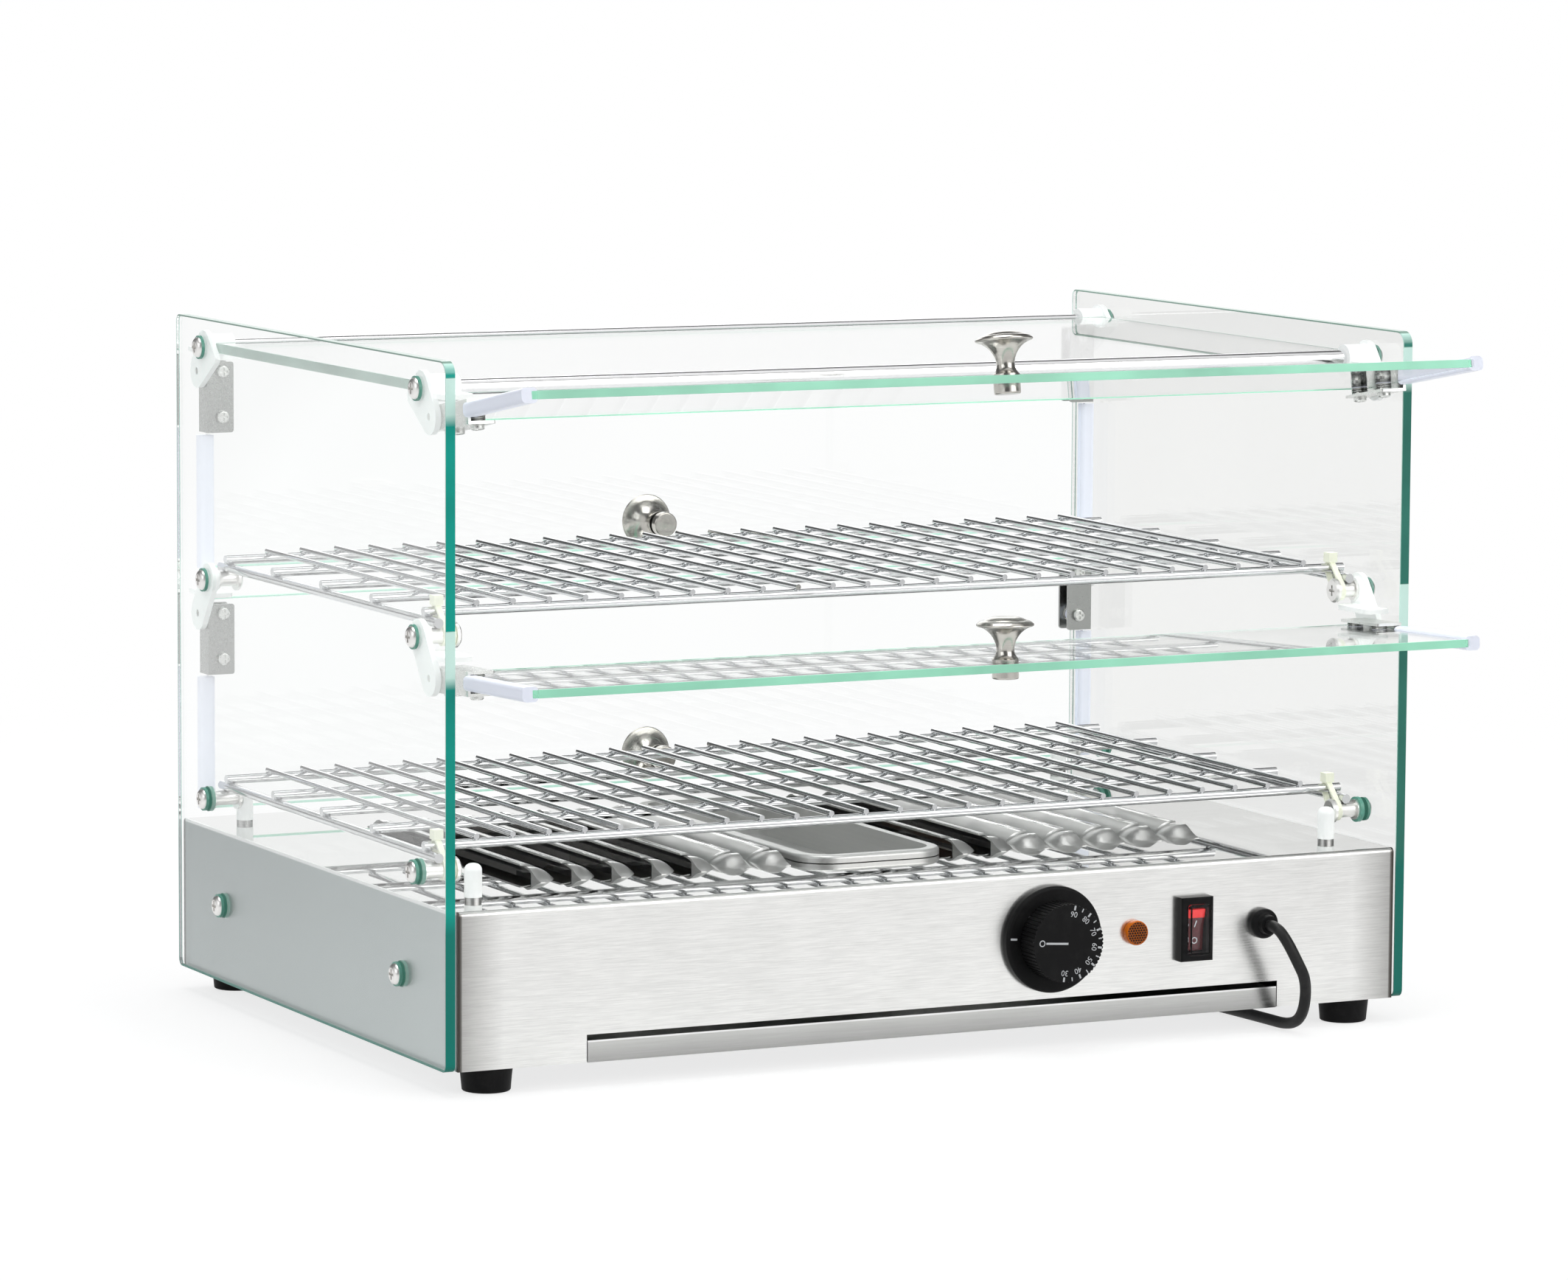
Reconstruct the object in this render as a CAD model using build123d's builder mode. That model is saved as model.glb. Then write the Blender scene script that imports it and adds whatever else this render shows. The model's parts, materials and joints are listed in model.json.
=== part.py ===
"""Countertop heated display case: glass sides, two wire shelves and four lift-up glass doors.

Millimetres. X runs to the right, Y to the back and Z up from the worktop. The origin is the centre of
the footprint, on the worktop. The front doors stand open, the rear doors hang closed.
"""
import os
from math import cos, pi, radians, sin, sqrt, tan

from build123d import *

os.makedirs("parts", exist_ok=True)

# Case
case_width = 554.0          # over the side glasses
case_depth = 365.0
glass_t = 5.0
glass_front_r = 7.0         # top corners of the side glasses
glass_rear_r = 4.0
glass_foot_r = 4.0
fixing_hole_r = 3.0         # holes in the side glasses
glass_over_rail = 15.5      # side glass above the top rail

# Base
foot_height = 12.5
base_height = 80.5
sheet = 1.0
base_gap = 1.5              # spacer between base and side glass
fold_r = 2.6
foot_r = 13.5
foot_taper = 1.2
foot_inset_x = 21.5
foot_inset_y = 14.0
foot_screw_r = 2.0
end_flange = 12.0
floor_gap = 0.2
floor_screw_y = 60.0
base_screw_in = 61.0        # from the front edge of the base
base_screw_drop = 39.5      # below the deck

# Louvres in the deck, mirrored about the middle
louvre_inner_x = 51.0       # first mouth that opens towards the middle
louvre_inner_count = 2
louvre_outer_x = 101.5      # first mouth that opens away from the middle
louvre_edge_gap = 70.0      # last mouth from the end of the deck, at least
louvre_pitch = 22.75
louvre_width = 13.0
louvre_height = 6.2
louvre_end_gap = 72.5       # louvre from the front edge of the base
louvre_nose = 12.0
# End of a louvre: place from the end of the mouth as a share of the nose, then shares of height and width
louvre_taper = ((-1.2, 1.0, 1.0), (-0.5, 0.95, 1.0), (0.0, 0.77, 0.96), (0.3, 0.48, 0.86), (0.65, 0.2, 0.66),
                (1.0, 0.04, 0.32))

# Water pan
pan_rim_x = 42.0            # half width over the rim
pan_end_gap = 68.5          # rim from the front edge of the base
pan_rim_r = 20.0
pan_rim_width = 5.4
pan_rim_height = 4.0
pan_depth = 18.0
pan_wall = 1.0
pan_clearance = 0.5
pan_lift = 0.3              # rim above the deck

# Crumb tray
tray_in = 71.0              # end of the tray from the end of the base
tray_side_gap = 0.5
tray_run_gap = 0.3
tray_back_gap = 18.0        # tray shorter than the base
tray_wall_height = 8.7
tray_lip_drop = 0.2         # lip below the underside of the base
tray_lip_height = 11.2
tray_slot = 14.0            # height of the notch in the front panel

# Hinges and doors
door_t = 4.0
door_drop = 106.0           # pin to free edge
door_top = 8.0              # glass above the pin
door_sill = 8.5             # free edge of the lower door above the deck
tier_gap = 24.5             # free edge of the upper door above the lower pin
door_corner_r = 3.0
pin_inset = 25.5            # pin behind the front edge of the side glass
pin_r = 2.0
pin_clearance = 0.05
pin_end_gap = 0.4
front_upper_open = 100.0    # degrees from closed, as it stands
front_lower_open = 92.0
block_t = 3.0
block_r = 9.0
hinge_gap = 0.5             # clamp to block
clamp_t = 1.5
edge_gap = 1.0              # glass edge to clamp web
clamp_width = 15.0
clamp_above = 5.0           # clamp beyond the pin
clamp_length = 38.0
clamp_pitch = 24.5          # between the two screws
clamp_screw_in = 8.5        # screw from the outer face of the clamp
clamp_outer_gap = 2.0       # plate to glass
clamp_inner_gap = 3.5
clamp_screw_r = 2.0
clamp_head_r = 3.5
clamp_head_h = 2.4
sleeve_r = 4.0
screw_clearance = 0.1
seal_grip = 3.0             # strip over the glass edge
seal_height = 7.5
seal_clearance = 0.05
seal_side_gap = 0.5
seal_start = 34.5           # below the pin
knob_drop = 93.0
knob_r = 14.7
knob_flat = 0.3             # flat middle of the crown, as a share of its radius
knob_height = 23.0
knob_neck_r = 4.6
knob_base_r = 6.8
knob_screw_r = 2.5
knob_nut_h = 4.5
roof_rise = 9.5             # hood of the hinge block above the pin
roof_t = 2.5
roof_reach = 16.0           # to each side of the pin
roof_width = 12.0

# Top rails and top glass
rail_offset = 10.0          # rail behind the pin
rail_rise = 13.5
rail_r = 4.0
rail_boss_r = 7.0
rail_boss_len = 13.0
rail_bore_depth = 8.0
top_glass_t = 5.0
top_glass_gap = 1.0         # to the rail bosses and to the hinge blocks
top_glass_drop = 2.5        # underside below the rail axis
ledge_len = 13.0
ledge_t = 3.0

# Shelf studs and screws
stud_offset = 14.0          # studs behind the pin
stud_rise = 15.5            # lower studs above the deck
block_stud_rise = 19.5      # upper studs above the lower pin
stud_boss = 2.0
stud_sleeve_r = 4.0
stud_inner_x = 18.5         # inner face of the head from the glass
stud_head_r = 6.5
stud_head_h = 2.5
stud_collar_r = 5.5
stud_collar_t = 1.2
screw_r = 2.5
head_r = 5.5
head_h = 2.2
head_flat = 0.55            # flat middle of a screw head, as a share of its radius
washer_r = 6.3
washer_t = 1.5
grommet_r = 6.8
grommet_t = 2.0
recess_w = 1.4
recess_len = 5.6
recess_depth = 1.5
nut_r = 4.6
nut_h = 4.0

# Shelves
side_rod_r = 2.5
side_rod_in = 10.0          # side rod from the glass
side_rod_over = 4.0         # side rod beyond the studs
cross_rod_r = 2.5
cross_rod_over = 3.0        # cross rod beyond the side rod
cross_rod_in = 9.0          # first cross rod behind the stud
cross_count = 5
wire_r = 1.5
wire_pitch = 20.0
wire_over = 2.0
weld = 0.4                  # depth of one rod in the next
rest_gap = 0.05
tie_t = 1.2
tie_width = 3.0
tie_gap = 0.15
tie_head = (5.0, 6.0, 5.0)

# Bumpers on the deck
bumper_in_x = 24.0          # from the glass
bumper_gap = 0.75           # cap to the closed door
bumper_r = 4.5
bumper_height = 19.0
bumper_base_h = 2.0
bumper_stem_r = 2.5
bumper_bolt_len = 8.0

# Controls on the front panel
control_drop = 1.75         # row of controls below the middle of the panel over the tray
dial_in = 206.5             # from the right end of the base
bezel_margin = 5.25         # bezel to the edges of the panel, about
bezel_h = 5.0
bezel_width = 7.5
dial_h = 14.0
dial_gap = 0.4
dial_ribs = 60
dial_rib_r = 0.5
shaft_r = 3.0
shaft_clearance = 0.05
bushing_r = 4.5
thermostat_size = (44.0, 36.0, 26.0)
lamp_in = 157.0
lamp_r = 6.5
lamp_h = 3.9
lamp_neck_r = 5.5
lamp_body_r = 6.8
lamp_body_len = 25.0
switch_in = 122.0
switch_size = (19.0, 33.8)
switch_proud = 5.5
switch_body = (16.0, 31.8)
switch_depth = 22.0
switch_window = (10.8, 25.0)
switch_well = 10.0
rocker_size = (9.8, 22.2)
rocker_tilt = 8.0           # degrees, off as it stands
rocker_pivot_in = 2.0       # pivot behind the face of the panel
rocker_crown = 5.0          # face above the pivot
trunnion_r = 1.5
cover_wall = 0.9
cover_proud = 3.6
gland_in = 80.5
gland_flange_r = 8.0
gland_flange_h = 6.0
gland_tip_r = 4.8
gland_len = 9.0
gland_thread_r = 6.2
gland_nut_h = 4.0
cut_clearance = 0.3

# Inside the base
element_r = 4.0
element_x = 142.0           # middle of each element
element_half = 30.0         # half distance of its legs
element_front_in = 82.5     # tips of its legs from the front edge of the base
element_back_in = 102.5     # start of its bend from the back edge
element_drop = 22.0         # below the underside of the deck
terminal_r = 2.0
terminal_len = 10.0
bracket_in = 20.0           # bracket from the start of the bend
bracket_t = 1.5
bracket_margin = 8.0
bulb_r = 3.0
bulb_side = 2.0             # bulb left of the dial
bulb_in = 122.5             # bulb from the front edge of the base
bulb_len = 80.0
bulb_drop = 10.0
capillary_r = 1.0
block_size = (24.0, 44.0, 18.0)
block_in = (44.5, 52.5)     # from the right end and the front edge of the base
wire_lead_r = 1.3

# Power cord
cord_r = 3.0
cord_clear = 0.2
coil_in = 75.9              # centre left of the cord bushing
coil_behind = 55.5          # centre behind the base
coil_turns = 6
coil_outer_r = 42.9
coil_pitch = 6.6
coil_lift = 1.7
coil_tail = 30.0            # straight from the coil to the plug
coil_tie_t = 1.1
coil_tie_gap = 0.5
coil_tie_width = 8.0
plug_len = 38.0
plug_width = 30.0
plug_t = 21.0
plug_neck = 14.0
blade_len = 17.0

# Places that follow from the sizes
SIDES = (-1, 1)
RISE = (Align.CENTER, Align.CENTER, Align.MIN)
SINK = (Align.CENTER, Align.CENTER, Align.MAX)
ALONG_X = (0, 90, 0)
ALONG_Y = (90, 0, 0)

z_base = foot_height
z_deck = z_base + base_height
z_floor = z_base + sheet
z_under_deck = z_deck - sheet
lower_pin_z = z_deck + door_sill + door_drop
upper_pin_z = lower_pin_z + tier_gap + door_drop
lower_stud_z = z_deck + stud_rise
upper_stud_z = lower_pin_z + block_stud_rise
rail_z = upper_pin_z + rail_rise
glass_top_z = rail_z + glass_over_rail
base_screw_z = z_deck - base_screw_drop
panel_half = (base_height - tray_slot) / 2
control_z = z_base + tray_slot + panel_half - control_drop
bezel_r = panel_half - bezel_margin
dial_r = bezel_r - bezel_width

x_out = case_width / 2
x_glass = x_out - glass_t
x_block = x_glass - block_t
x_clamp = x_block - hinge_gap
x_door = x_clamp - clamp_t - edge_gap
x_end = x_glass - base_gap
x_wrap = x_end - sheet
x_rail = x_block - rail_boss_len + rail_bore_depth
x_foot = x_end - foot_inset_x
tray_half = x_end - tray_in
dial_x = x_end - dial_in
bulb_x = dial_x - bulb_side
lamp_x = x_end - lamp_in
switch_x = x_end - switch_in
gland_x = x_end - gland_in
block_x = x_end - block_in[0]

y_half = case_depth / 2
y_foot = y_half - foot_inset_y
pin_y = y_half - pin_inset
rail_y = pin_y - rail_offset
stud_y = pin_y - stud_offset
bumper_y = pin_y - door_t / 2 - bumper_gap - bumper_r
base_screw_y = y_half - base_screw_in
louvre_mouth = y_half - louvre_end_gap - louvre_nose
pan_rim_y = y_half - pan_end_gap
tray_length = case_depth - tray_back_gap
element_front = element_front_in - y_half
element_back = y_half - element_back_in
bracket_y = element_back - bracket_in
bulb_front = bulb_in - y_half
block_y = block_in[1] - y_half
coil_centre = (gland_x - coil_in, y_half + coil_behind)

fixings = [(s * rail_y, rail_z) for s in SIDES]
upper_studs = [(s * stud_y, upper_stud_z) for s in SIDES]
lower_studs = [(s * stud_y, lower_stud_z) for s in SIDES]
base_screws_at = [(s * base_screw_y, base_screw_z) for s in SIDES]
panel = Plane(origin=(0, -y_half, 0), x_dir=(1, 0, 0), z_dir=(0, -1, 0))


def save(piece, name):
    """Labels a finished piece and writes it."""
    piece.part.label = name
    export_step(piece.part, f"parts/{name}.step")


def corners(x, y, z=0.0):
    """The four points at plus and minus x and y."""
    return [(a * x, b * y, z) for a in SIDES for b in SIDES]


def base_outline(x):
    """Outline of the base seen from the end, on the plane at x."""
    with BuildSketch(Plane.YZ.offset(x)) as outline:
        with Locations((0, (z_base + z_deck) / 2)):
            Rectangle(case_depth, base_height)
        fillet(outline.vertices().group_by(Axis.Y)[-1], fold_r)
    return outline.sketch


def tube(points, radii, r):
    """Round wire along straight runs joined by tangent arcs."""
    with BuildPart() as wire:
        with BuildLine() as route:
            FilletPolyline(*points, radius=radii)
        path = route.wire()
        with BuildSketch(Plane(origin=path @ 0, z_dir=path % 0)):
            Circle(r)
        sweep(path=path)
    return wire.part, path.length


def cross_recess(x, r_len, depth):
    """Cross slot for a screw head whose face is at x, cut towards -X."""
    with BuildPart() as recess:
        with Locations((x - depth / 2, 0, 0)):
            Box(depth, r_len, recess_w)
            Box(depth, recess_w, r_len)
    return recess.part


# Base: one sheet folded over front, deck and back
def arch(y, tall, wide, arm, foot):
    """Half arch at y: mouth at x = arm, crown at the height tall, foot at -wide."""
    with BuildSketch(Plane.XZ.offset(-y)) as section:
        with BuildLine():
            Polyline((-wide, -sheet / 2), (-wide, -sheet / 2 - foot), (arm, -sheet / 2 - foot), (arm, tall), (0, tall))
            ThreePointArc((0, tall), (-0.62 * wide, 0.71 * tall - 0.14 * sheet), (-wide, -sheet / 2))
        make_face()
    return section.sketch


def arched(inset, arm, foot, taper):
    """Solid along Y from half arches, level in the middle and tapered at both ends."""
    rows = [(louvre_mouth + share * louvre_nose, louvre_height * tall - inset, louvre_width * wide - 2 * inset)
            for share, tall, wide in taper]
    with BuildPart() as solid:
        loft(sections=[arch(-y, tall, wide, arm, foot) for y, tall, wide in rows])
        mirror(about=Plane.XZ)
        loft(sections=[arch(y, *rows[0][1:], arm, foot) for y in (-rows[0][0], rows[0][0])], ruled=True)
    return solid.part


louvre = arched(0.0, 0.5 * sheet, 0.1 * sheet, louvre_taper)
louvre_cut = arched(sheet, sheet, sheet, [row for row in louvre_taper if row[0] <= 0])

inner_mouths = [louvre_inner_x + louvre_pitch * i for i in range(louvre_inner_count)]
louvre_outer_count = int((x_wrap - louvre_edge_gap - louvre_outer_x) / louvre_pitch) + 1
outer_mouths = [louvre_outer_x + louvre_pitch * i for i in range(louvre_outer_count)]
louvre_places = [Location((x, 0, z_deck), (0, 0, 180)) for x in inner_mouths]
louvre_places += [Location((x, 0, z_deck), (0, 0, 0)) for x in outer_mouths]
louvre_places += [Location((-x, 0, z_deck), (0, 0, 0)) for x in inner_mouths]
louvre_places += [Location((-x, 0, z_deck), (0, 0, 180)) for x in outer_mouths]

pan_bowl_x = pan_rim_x - pan_rim_width
pan_bowl_y = pan_rim_y - pan_rim_width
pan_bowl_r = pan_rim_r - pan_rim_width

with BuildPart() as base_shell:
    extrude(base_outline(-x_wrap), amount=2 * x_wrap)
    with BuildSketch(Plane.YZ.offset(-x_wrap)) as inner:
        with Locations((0, (z_base + z_under_deck) / 2)):
            Rectangle(case_depth - 2 * sheet, base_height - sheet)
        fillet(inner.vertices().group_by(Axis.Y)[-1], fold_r - sheet)
    extrude(amount=2 * x_wrap, mode=Mode.SUBTRACT)
    with Locations(*louvre_places):
        add(louvre)
    with Locations(*louvre_places):
        add(louvre_cut, mode=Mode.SUBTRACT)
    with BuildSketch(Plane.XY.offset(z_deck)):
        RectangleRounded(2 * (pan_bowl_x + pan_clearance), 2 * (pan_bowl_y + pan_clearance),
                         pan_bowl_r + pan_clearance)
    extrude(amount=-2 * sheet, mode=Mode.SUBTRACT)
    with BuildSketch(panel):
        with Locations((0, z_base + tray_slot / 2)):
            Rectangle(2 * (tray_half + tray_side_gap), tray_slot)
        with Locations((dial_x, control_z)):
            Circle(bushing_r + cut_clearance)
        with Locations((lamp_x, control_z)):
            Circle(lamp_neck_r + cut_clearance)
        with Locations((switch_x, control_z)):
            Rectangle(switch_body[0] + cut_clearance, switch_body[1] + cut_clearance)
        with Locations((gland_x, control_z)):
            Circle(gland_thread_r + cut_clearance)
    extrude(amount=-2 * sheet, mode=Mode.SUBTRACT)
    with Locations(*corners(x_glass - bumper_in_x, bumper_y, z_deck)):
        Cylinder(bumper_stem_r + screw_clearance, 4 * sheet, mode=Mode.SUBTRACT)
save(base_shell, "base_shell")

with BuildPart() as base_ends:
    extrude(base_outline(x_wrap), amount=sheet)
    with Locations((x_wrap - end_flange / 2, 0, z_floor)):
        Box(end_flange, case_depth - 4 * sheet, sheet, align=RISE)
    with Locations(*[(x_wrap, y, z) for y, z in base_screws_at]):
        Cylinder(screw_r + screw_clearance, 6 * sheet, rotation=ALONG_X, mode=Mode.SUBTRACT)
    with Locations(*[(x_wrap - end_flange / 2, s * floor_screw_y, z_floor) for s in SIDES]):
        Cylinder(foot_screw_r + screw_clearance, 4 * sheet, mode=Mode.SUBTRACT)
    mirror(about=Plane.YZ)
save(base_ends, "base_ends")

floor_half_y = y_half - sheet - floor_gap
guide_x = tray_half + tray_side_gap
with BuildPart() as base_floor:
    with Locations((0, 0, z_base)):
        Box(2 * (x_wrap - floor_gap), 2 * floor_half_y, sheet, align=RISE)
    with Locations(*[(s * (guide_x + sheet / 2), 0, z_floor - sheet / 2) for s in SIDES]):
        Box(sheet, 2 * floor_half_y, tray_wall_height + sheet / 2, align=RISE)
    with Locations(*corners(x_foot, y_foot, z_base)):
        Cylinder(foot_screw_r + screw_clearance, 4 * sheet, mode=Mode.SUBTRACT)
    with Locations(*corners(x_wrap - end_flange / 2, floor_screw_y, z_base)):
        Cylinder(foot_screw_r + screw_clearance, 4 * sheet, mode=Mode.SUBTRACT)
save(base_floor, "base_floor")

with BuildPart() as feet:
    with Locations(*corners(x_foot, y_foot, foot_height)):
        Cone(foot_r, foot_r - foot_taper, foot_height, rotation=(180, 0, 0),
             align=RISE)
    fillet(feet.edges().group_by(Axis.Z)[0], 0.8 * foot_taper)
    with Locations(*corners(x_foot, y_foot)):
        Cylinder(2.4 * foot_screw_r, 0.55 * foot_height, align=RISE, mode=Mode.SUBTRACT)
        Cylinder(foot_screw_r + screw_clearance, foot_height, align=RISE, mode=Mode.SUBTRACT)
save(feet, "feet")

with BuildPart() as base_screws:
    with Locations(*corners(x_foot, y_foot, 0.55 * foot_height)):
        Cylinder(2.0 * foot_screw_r, -0.3 * foot_height + 0.45 * foot_height, align=SINK)
        Cylinder(foot_screw_r, 0.45 * foot_height + sheet, align=RISE)
    with Locations(*corners(x_foot, y_foot, z_floor)):
        Cylinder(2.0 * foot_screw_r, 1.5 * foot_screw_r, align=RISE)
    with Locations(*corners(x_wrap - end_flange / 2, floor_screw_y, z_base)):
        Cylinder(1.8 * foot_screw_r, foot_screw_r, align=SINK)
        Cylinder(foot_screw_r, 6 * sheet, align=RISE)
save(base_screws, "base_screws")

with BuildPart() as water_pan:
    with BuildSketch(Plane.XY.offset(z_deck + pan_lift)):
        RectangleRounded(2 * pan_rim_x, 2 * pan_rim_y, pan_rim_r)
    extrude(amount=pan_rim_height)
    fillet(water_pan.faces().sort_by(Axis.Z)[-1].edges(), 0.48 * pan_rim_height)
    with BuildSketch(Plane.XY.offset(z_deck + pan_lift)):
        RectangleRounded(2 * pan_bowl_x, 2 * pan_bowl_y, pan_bowl_r)
    extrude(amount=-pan_depth)
    fillet(water_pan.faces().sort_by(Axis.Z)[0].edges(), 1.5 * pan_wall)
    with BuildSketch(Plane.XY.offset(z_deck + pan_lift + pan_rim_height)):
        RectangleRounded(2 * (pan_bowl_x - pan_wall), 2 * (pan_bowl_y - pan_wall), pan_bowl_r - pan_wall)
    extrude(amount=-(pan_depth + pan_rim_height - pan_wall), mode=Mode.SUBTRACT)
save(water_pan, "water_pan")

tray_bottom = z_floor + tray_run_gap
tray_top = tray_bottom + tray_wall_height
with BuildPart() as crumb_tray:
    with Locations((0, -y_half, tray_bottom)):
        Box(2 * tray_half, tray_length, tray_wall_height, align=(Align.CENTER, Align.MIN, Align.MIN))
    with Locations((0, -y_half + sheet, tray_bottom + sheet)):
        Box(2 * (tray_half - sheet), tray_length - 2 * sheet, tray_wall_height,
            align=(Align.CENTER, Align.MIN, Align.MIN), mode=Mode.SUBTRACT)
    with Locations((0, -y_half, z_base - tray_lip_drop)):
        Box(2 * tray_half, sheet, tray_lip_height, align=(Align.CENTER, Align.MIN, Align.MIN))
save(crumb_tray, "crumb_tray")


# Side glasses, top glass and rails
def side_glass(side):
    """Side pane with its eight fixing holes."""
    with BuildPart() as pane:
        with BuildSketch(Plane.YZ.offset(side * x_glass)) as outline:
            with Locations((0, (z_base + glass_top_z) / 2)):
                Rectangle(case_depth, glass_top_z - z_base)
            top_corners = outline.vertices().group_by(Axis.Y)[-1].sort_by(Axis.X)
            fillet(top_corners[0], glass_front_r)
            top_corners = outline.vertices().group_by(Axis.Y)[-1].sort_by(Axis.X)
            fillet(top_corners[-1], glass_rear_r)
            fillet(outline.vertices().group_by(Axis.Y)[0], glass_foot_r)
        extrude(amount=side * glass_t)
        with Locations(*[(side * x_glass, y, z) for y, z in fixings + upper_studs + lower_studs + base_screws_at]):
            Cylinder(fixing_hole_r, 4 * glass_t, rotation=ALONG_X, mode=Mode.SUBTRACT)
    return pane


save(side_glass(-1), "side_glass_left")
save(side_glass(1), "side_glass_right")

top_glass_y = rail_y - rail_boss_r - top_glass_gap + 0.5
top_glass_z = rail_z - top_glass_drop
with BuildPart() as top_glass:
    with BuildSketch(Plane.XY.offset(top_glass_z)):
        RectangleRounded(2 * (x_block - top_glass_gap), 2 * top_glass_y, door_corner_r)
    extrude(amount=top_glass_t)
save(top_glass, "top_glass")

with BuildPart() as top_rails:
    with Locations(*[(0, s * rail_y, rail_z) for s in SIDES]):
        Cylinder(rail_r, 2 * x_rail, rotation=ALONG_X)
    with Locations(*corners(x_rail, rail_y, rail_z)):
        Cylinder(screw_r + screw_clearance, 6 * rail_r, rotation=ALONG_X, mode=Mode.SUBTRACT)
save(top_rails, "top_rails")

# Hinge blocks, made at the right front and mirrored to the other corners
ledge_y = top_glass_y - ledge_len / 2
with BuildPart() as top_hinge_blocks:
    with BuildSketch(Plane.YZ.offset(x_block)):
        with Locations((-pin_y, upper_pin_z), (-rail_y, rail_z)):
            Circle(block_r)
        with Locations((-ledge_y, top_glass_z - ledge_t)):
            Circle(ledge_t)
        make_hull()
    extrude(amount=block_t)
    with Locations((x_block + block_t / 2, -pin_y, upper_pin_z + roof_rise)):
        Box(roof_width + block_t / 2, 2 * roof_reach, roof_t, align=(Align.MAX, Align.CENTER, Align.MIN))
    fillet(top_hinge_blocks.edges().filter_by(Axis.Z).group_by(Axis.X)[0], roof_width / 3)
    with Locations((x_block + block_t / 2, -rail_y, rail_z)):
        Cylinder(rail_boss_r, rail_boss_len + block_t / 2, rotation=ALONG_X,
                 align=(Align.CENTER, Align.CENTER, Align.MAX))
    with Locations((x_block + block_t / 2, -ledge_y, top_glass_z)):
        Box(roof_width + block_t / 2, ledge_len, ledge_t, align=(Align.MAX, Align.CENTER, Align.MAX))
    with Locations((x_rail, -rail_y, rail_z)):
        Cylinder(rail_r + rest_gap, 4 * rail_bore_depth, rotation=ALONG_X, align=SINK, mode=Mode.SUBTRACT)
        Cylinder(screw_r + screw_clearance, 2 * rail_boss_len, rotation=ALONG_X, align=RISE, mode=Mode.SUBTRACT)
    with Locations((x_block, -pin_y, upper_pin_z)):
        Cylinder(pin_r + pin_clearance, 4 * block_t, rotation=ALONG_X, mode=Mode.SUBTRACT)
    mirror(about=Plane.YZ)
    mirror(about=Plane.XZ)
save(top_hinge_blocks, "top_hinge_blocks")

with BuildPart() as middle_hinge_blocks:
    with BuildSketch(Plane.YZ.offset(x_block)):
        with Locations((-pin_y, lower_pin_z), (-stud_y, upper_stud_z)):
            Circle(block_r)
        make_hull()
    extrude(amount=block_t)
    with Locations((x_block + block_t / 2, -pin_y, lower_pin_z + roof_rise)):
        Box(roof_width + block_t / 2, 2 * roof_reach, roof_t, align=(Align.MAX, Align.CENTER, Align.MIN))
    fillet(middle_hinge_blocks.edges().filter_by(Axis.Z).group_by(Axis.X)[0], roof_width / 3)
    with Locations((x_block + block_t / 2, -stud_y, upper_stud_z)):
        Cylinder(stud_head_r, stud_boss + block_t / 2, rotation=ALONG_X, align=SINK)
    with Locations((x_block, -stud_y, upper_stud_z)):
        Cylinder(screw_r + screw_clearance, 6 * block_t, rotation=ALONG_X, mode=Mode.SUBTRACT)
    with Locations((x_block, -pin_y, lower_pin_z)):
        Cylinder(pin_r + pin_clearance, 4 * block_t, rotation=ALONG_X, mode=Mode.SUBTRACT)
    mirror(about=Plane.YZ)
    mirror(about=Plane.XZ)
save(middle_hinge_blocks, "middle_hinge_blocks")


# Screws through the side glasses
x_head = x_out + washer_t


def headed(x_tip):
    """Pan head screw from outside the glass to x_tip, on the X axis."""
    with BuildPart() as screw:
        with BuildSketch():
            with BuildLine():
                Polyline((x_head + head_h, head_flat * head_r), (x_head + head_h, 0), (x_tip, 0), (x_tip, screw_r),
                         (x_head, screw_r), (x_head, head_r))
                ThreePointArc((x_head, head_r), (x_head + 0.65 * head_h, 0.86 * head_r),
                              (x_head + head_h, head_flat * head_r))
            make_face()
        revolve(axis=Axis.X)
        add(cross_recess(x_head + head_h, recess_len, recess_depth), mode=Mode.SUBTRACT)
    return screw.part


def shelf_stud(x_seat):
    """Shelf stud: pan head outside, sleeve and flat head inside, seated at x_seat."""
    x_inner = x_glass - stud_inner_x
    x_face = x_inner + stud_head_h
    bevel = 0.4 * stud_head_h
    with BuildPart() as stud:
        with BuildSketch():
            with BuildLine():
                Polyline((x_inner, 0), (x_inner, stud_head_r - bevel), (x_inner + bevel, stud_head_r),
                         (x_face, stud_head_r), (x_face, stud_sleeve_r),
                         (x_seat - stud_collar_t, stud_sleeve_r), (x_seat - stud_collar_t, stud_collar_r),
                         (x_seat, stud_collar_r), (x_seat, screw_r), (x_head, screw_r), (x_head, 0), (x_inner, 0))
            make_face()
        revolve(axis=Axis.X)
        add(headed(x_seat))
        with Locations(Location((0, 0, 0), (0, 0, 180))):
            add(cross_recess(-x_inner, recess_len, recess_depth), mode=Mode.SUBTRACT)
    return stud.part


def both_sides(solids):
    """Pieces on the X axis set at their places on the right glass and mirrored to the left."""
    with BuildPart() as group:
        for solid, places in solids:
            with Locations(*[(0, y, z) for y, z in places]):
                add(solid)
        mirror(about=Plane.YZ)
    return group


def ring(x0, x1, r, bore):
    """Washer on the X axis."""
    with BuildPart() as washer:
        with Locations(((x0 + x1) / 2, 0, 0)):
            Cylinder(r, x1 - x0, rotation=ALONG_X)
            Cylinder(bore, 2 * (x1 - x0), rotation=ALONG_X, mode=Mode.SUBTRACT)
    return washer.part


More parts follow.
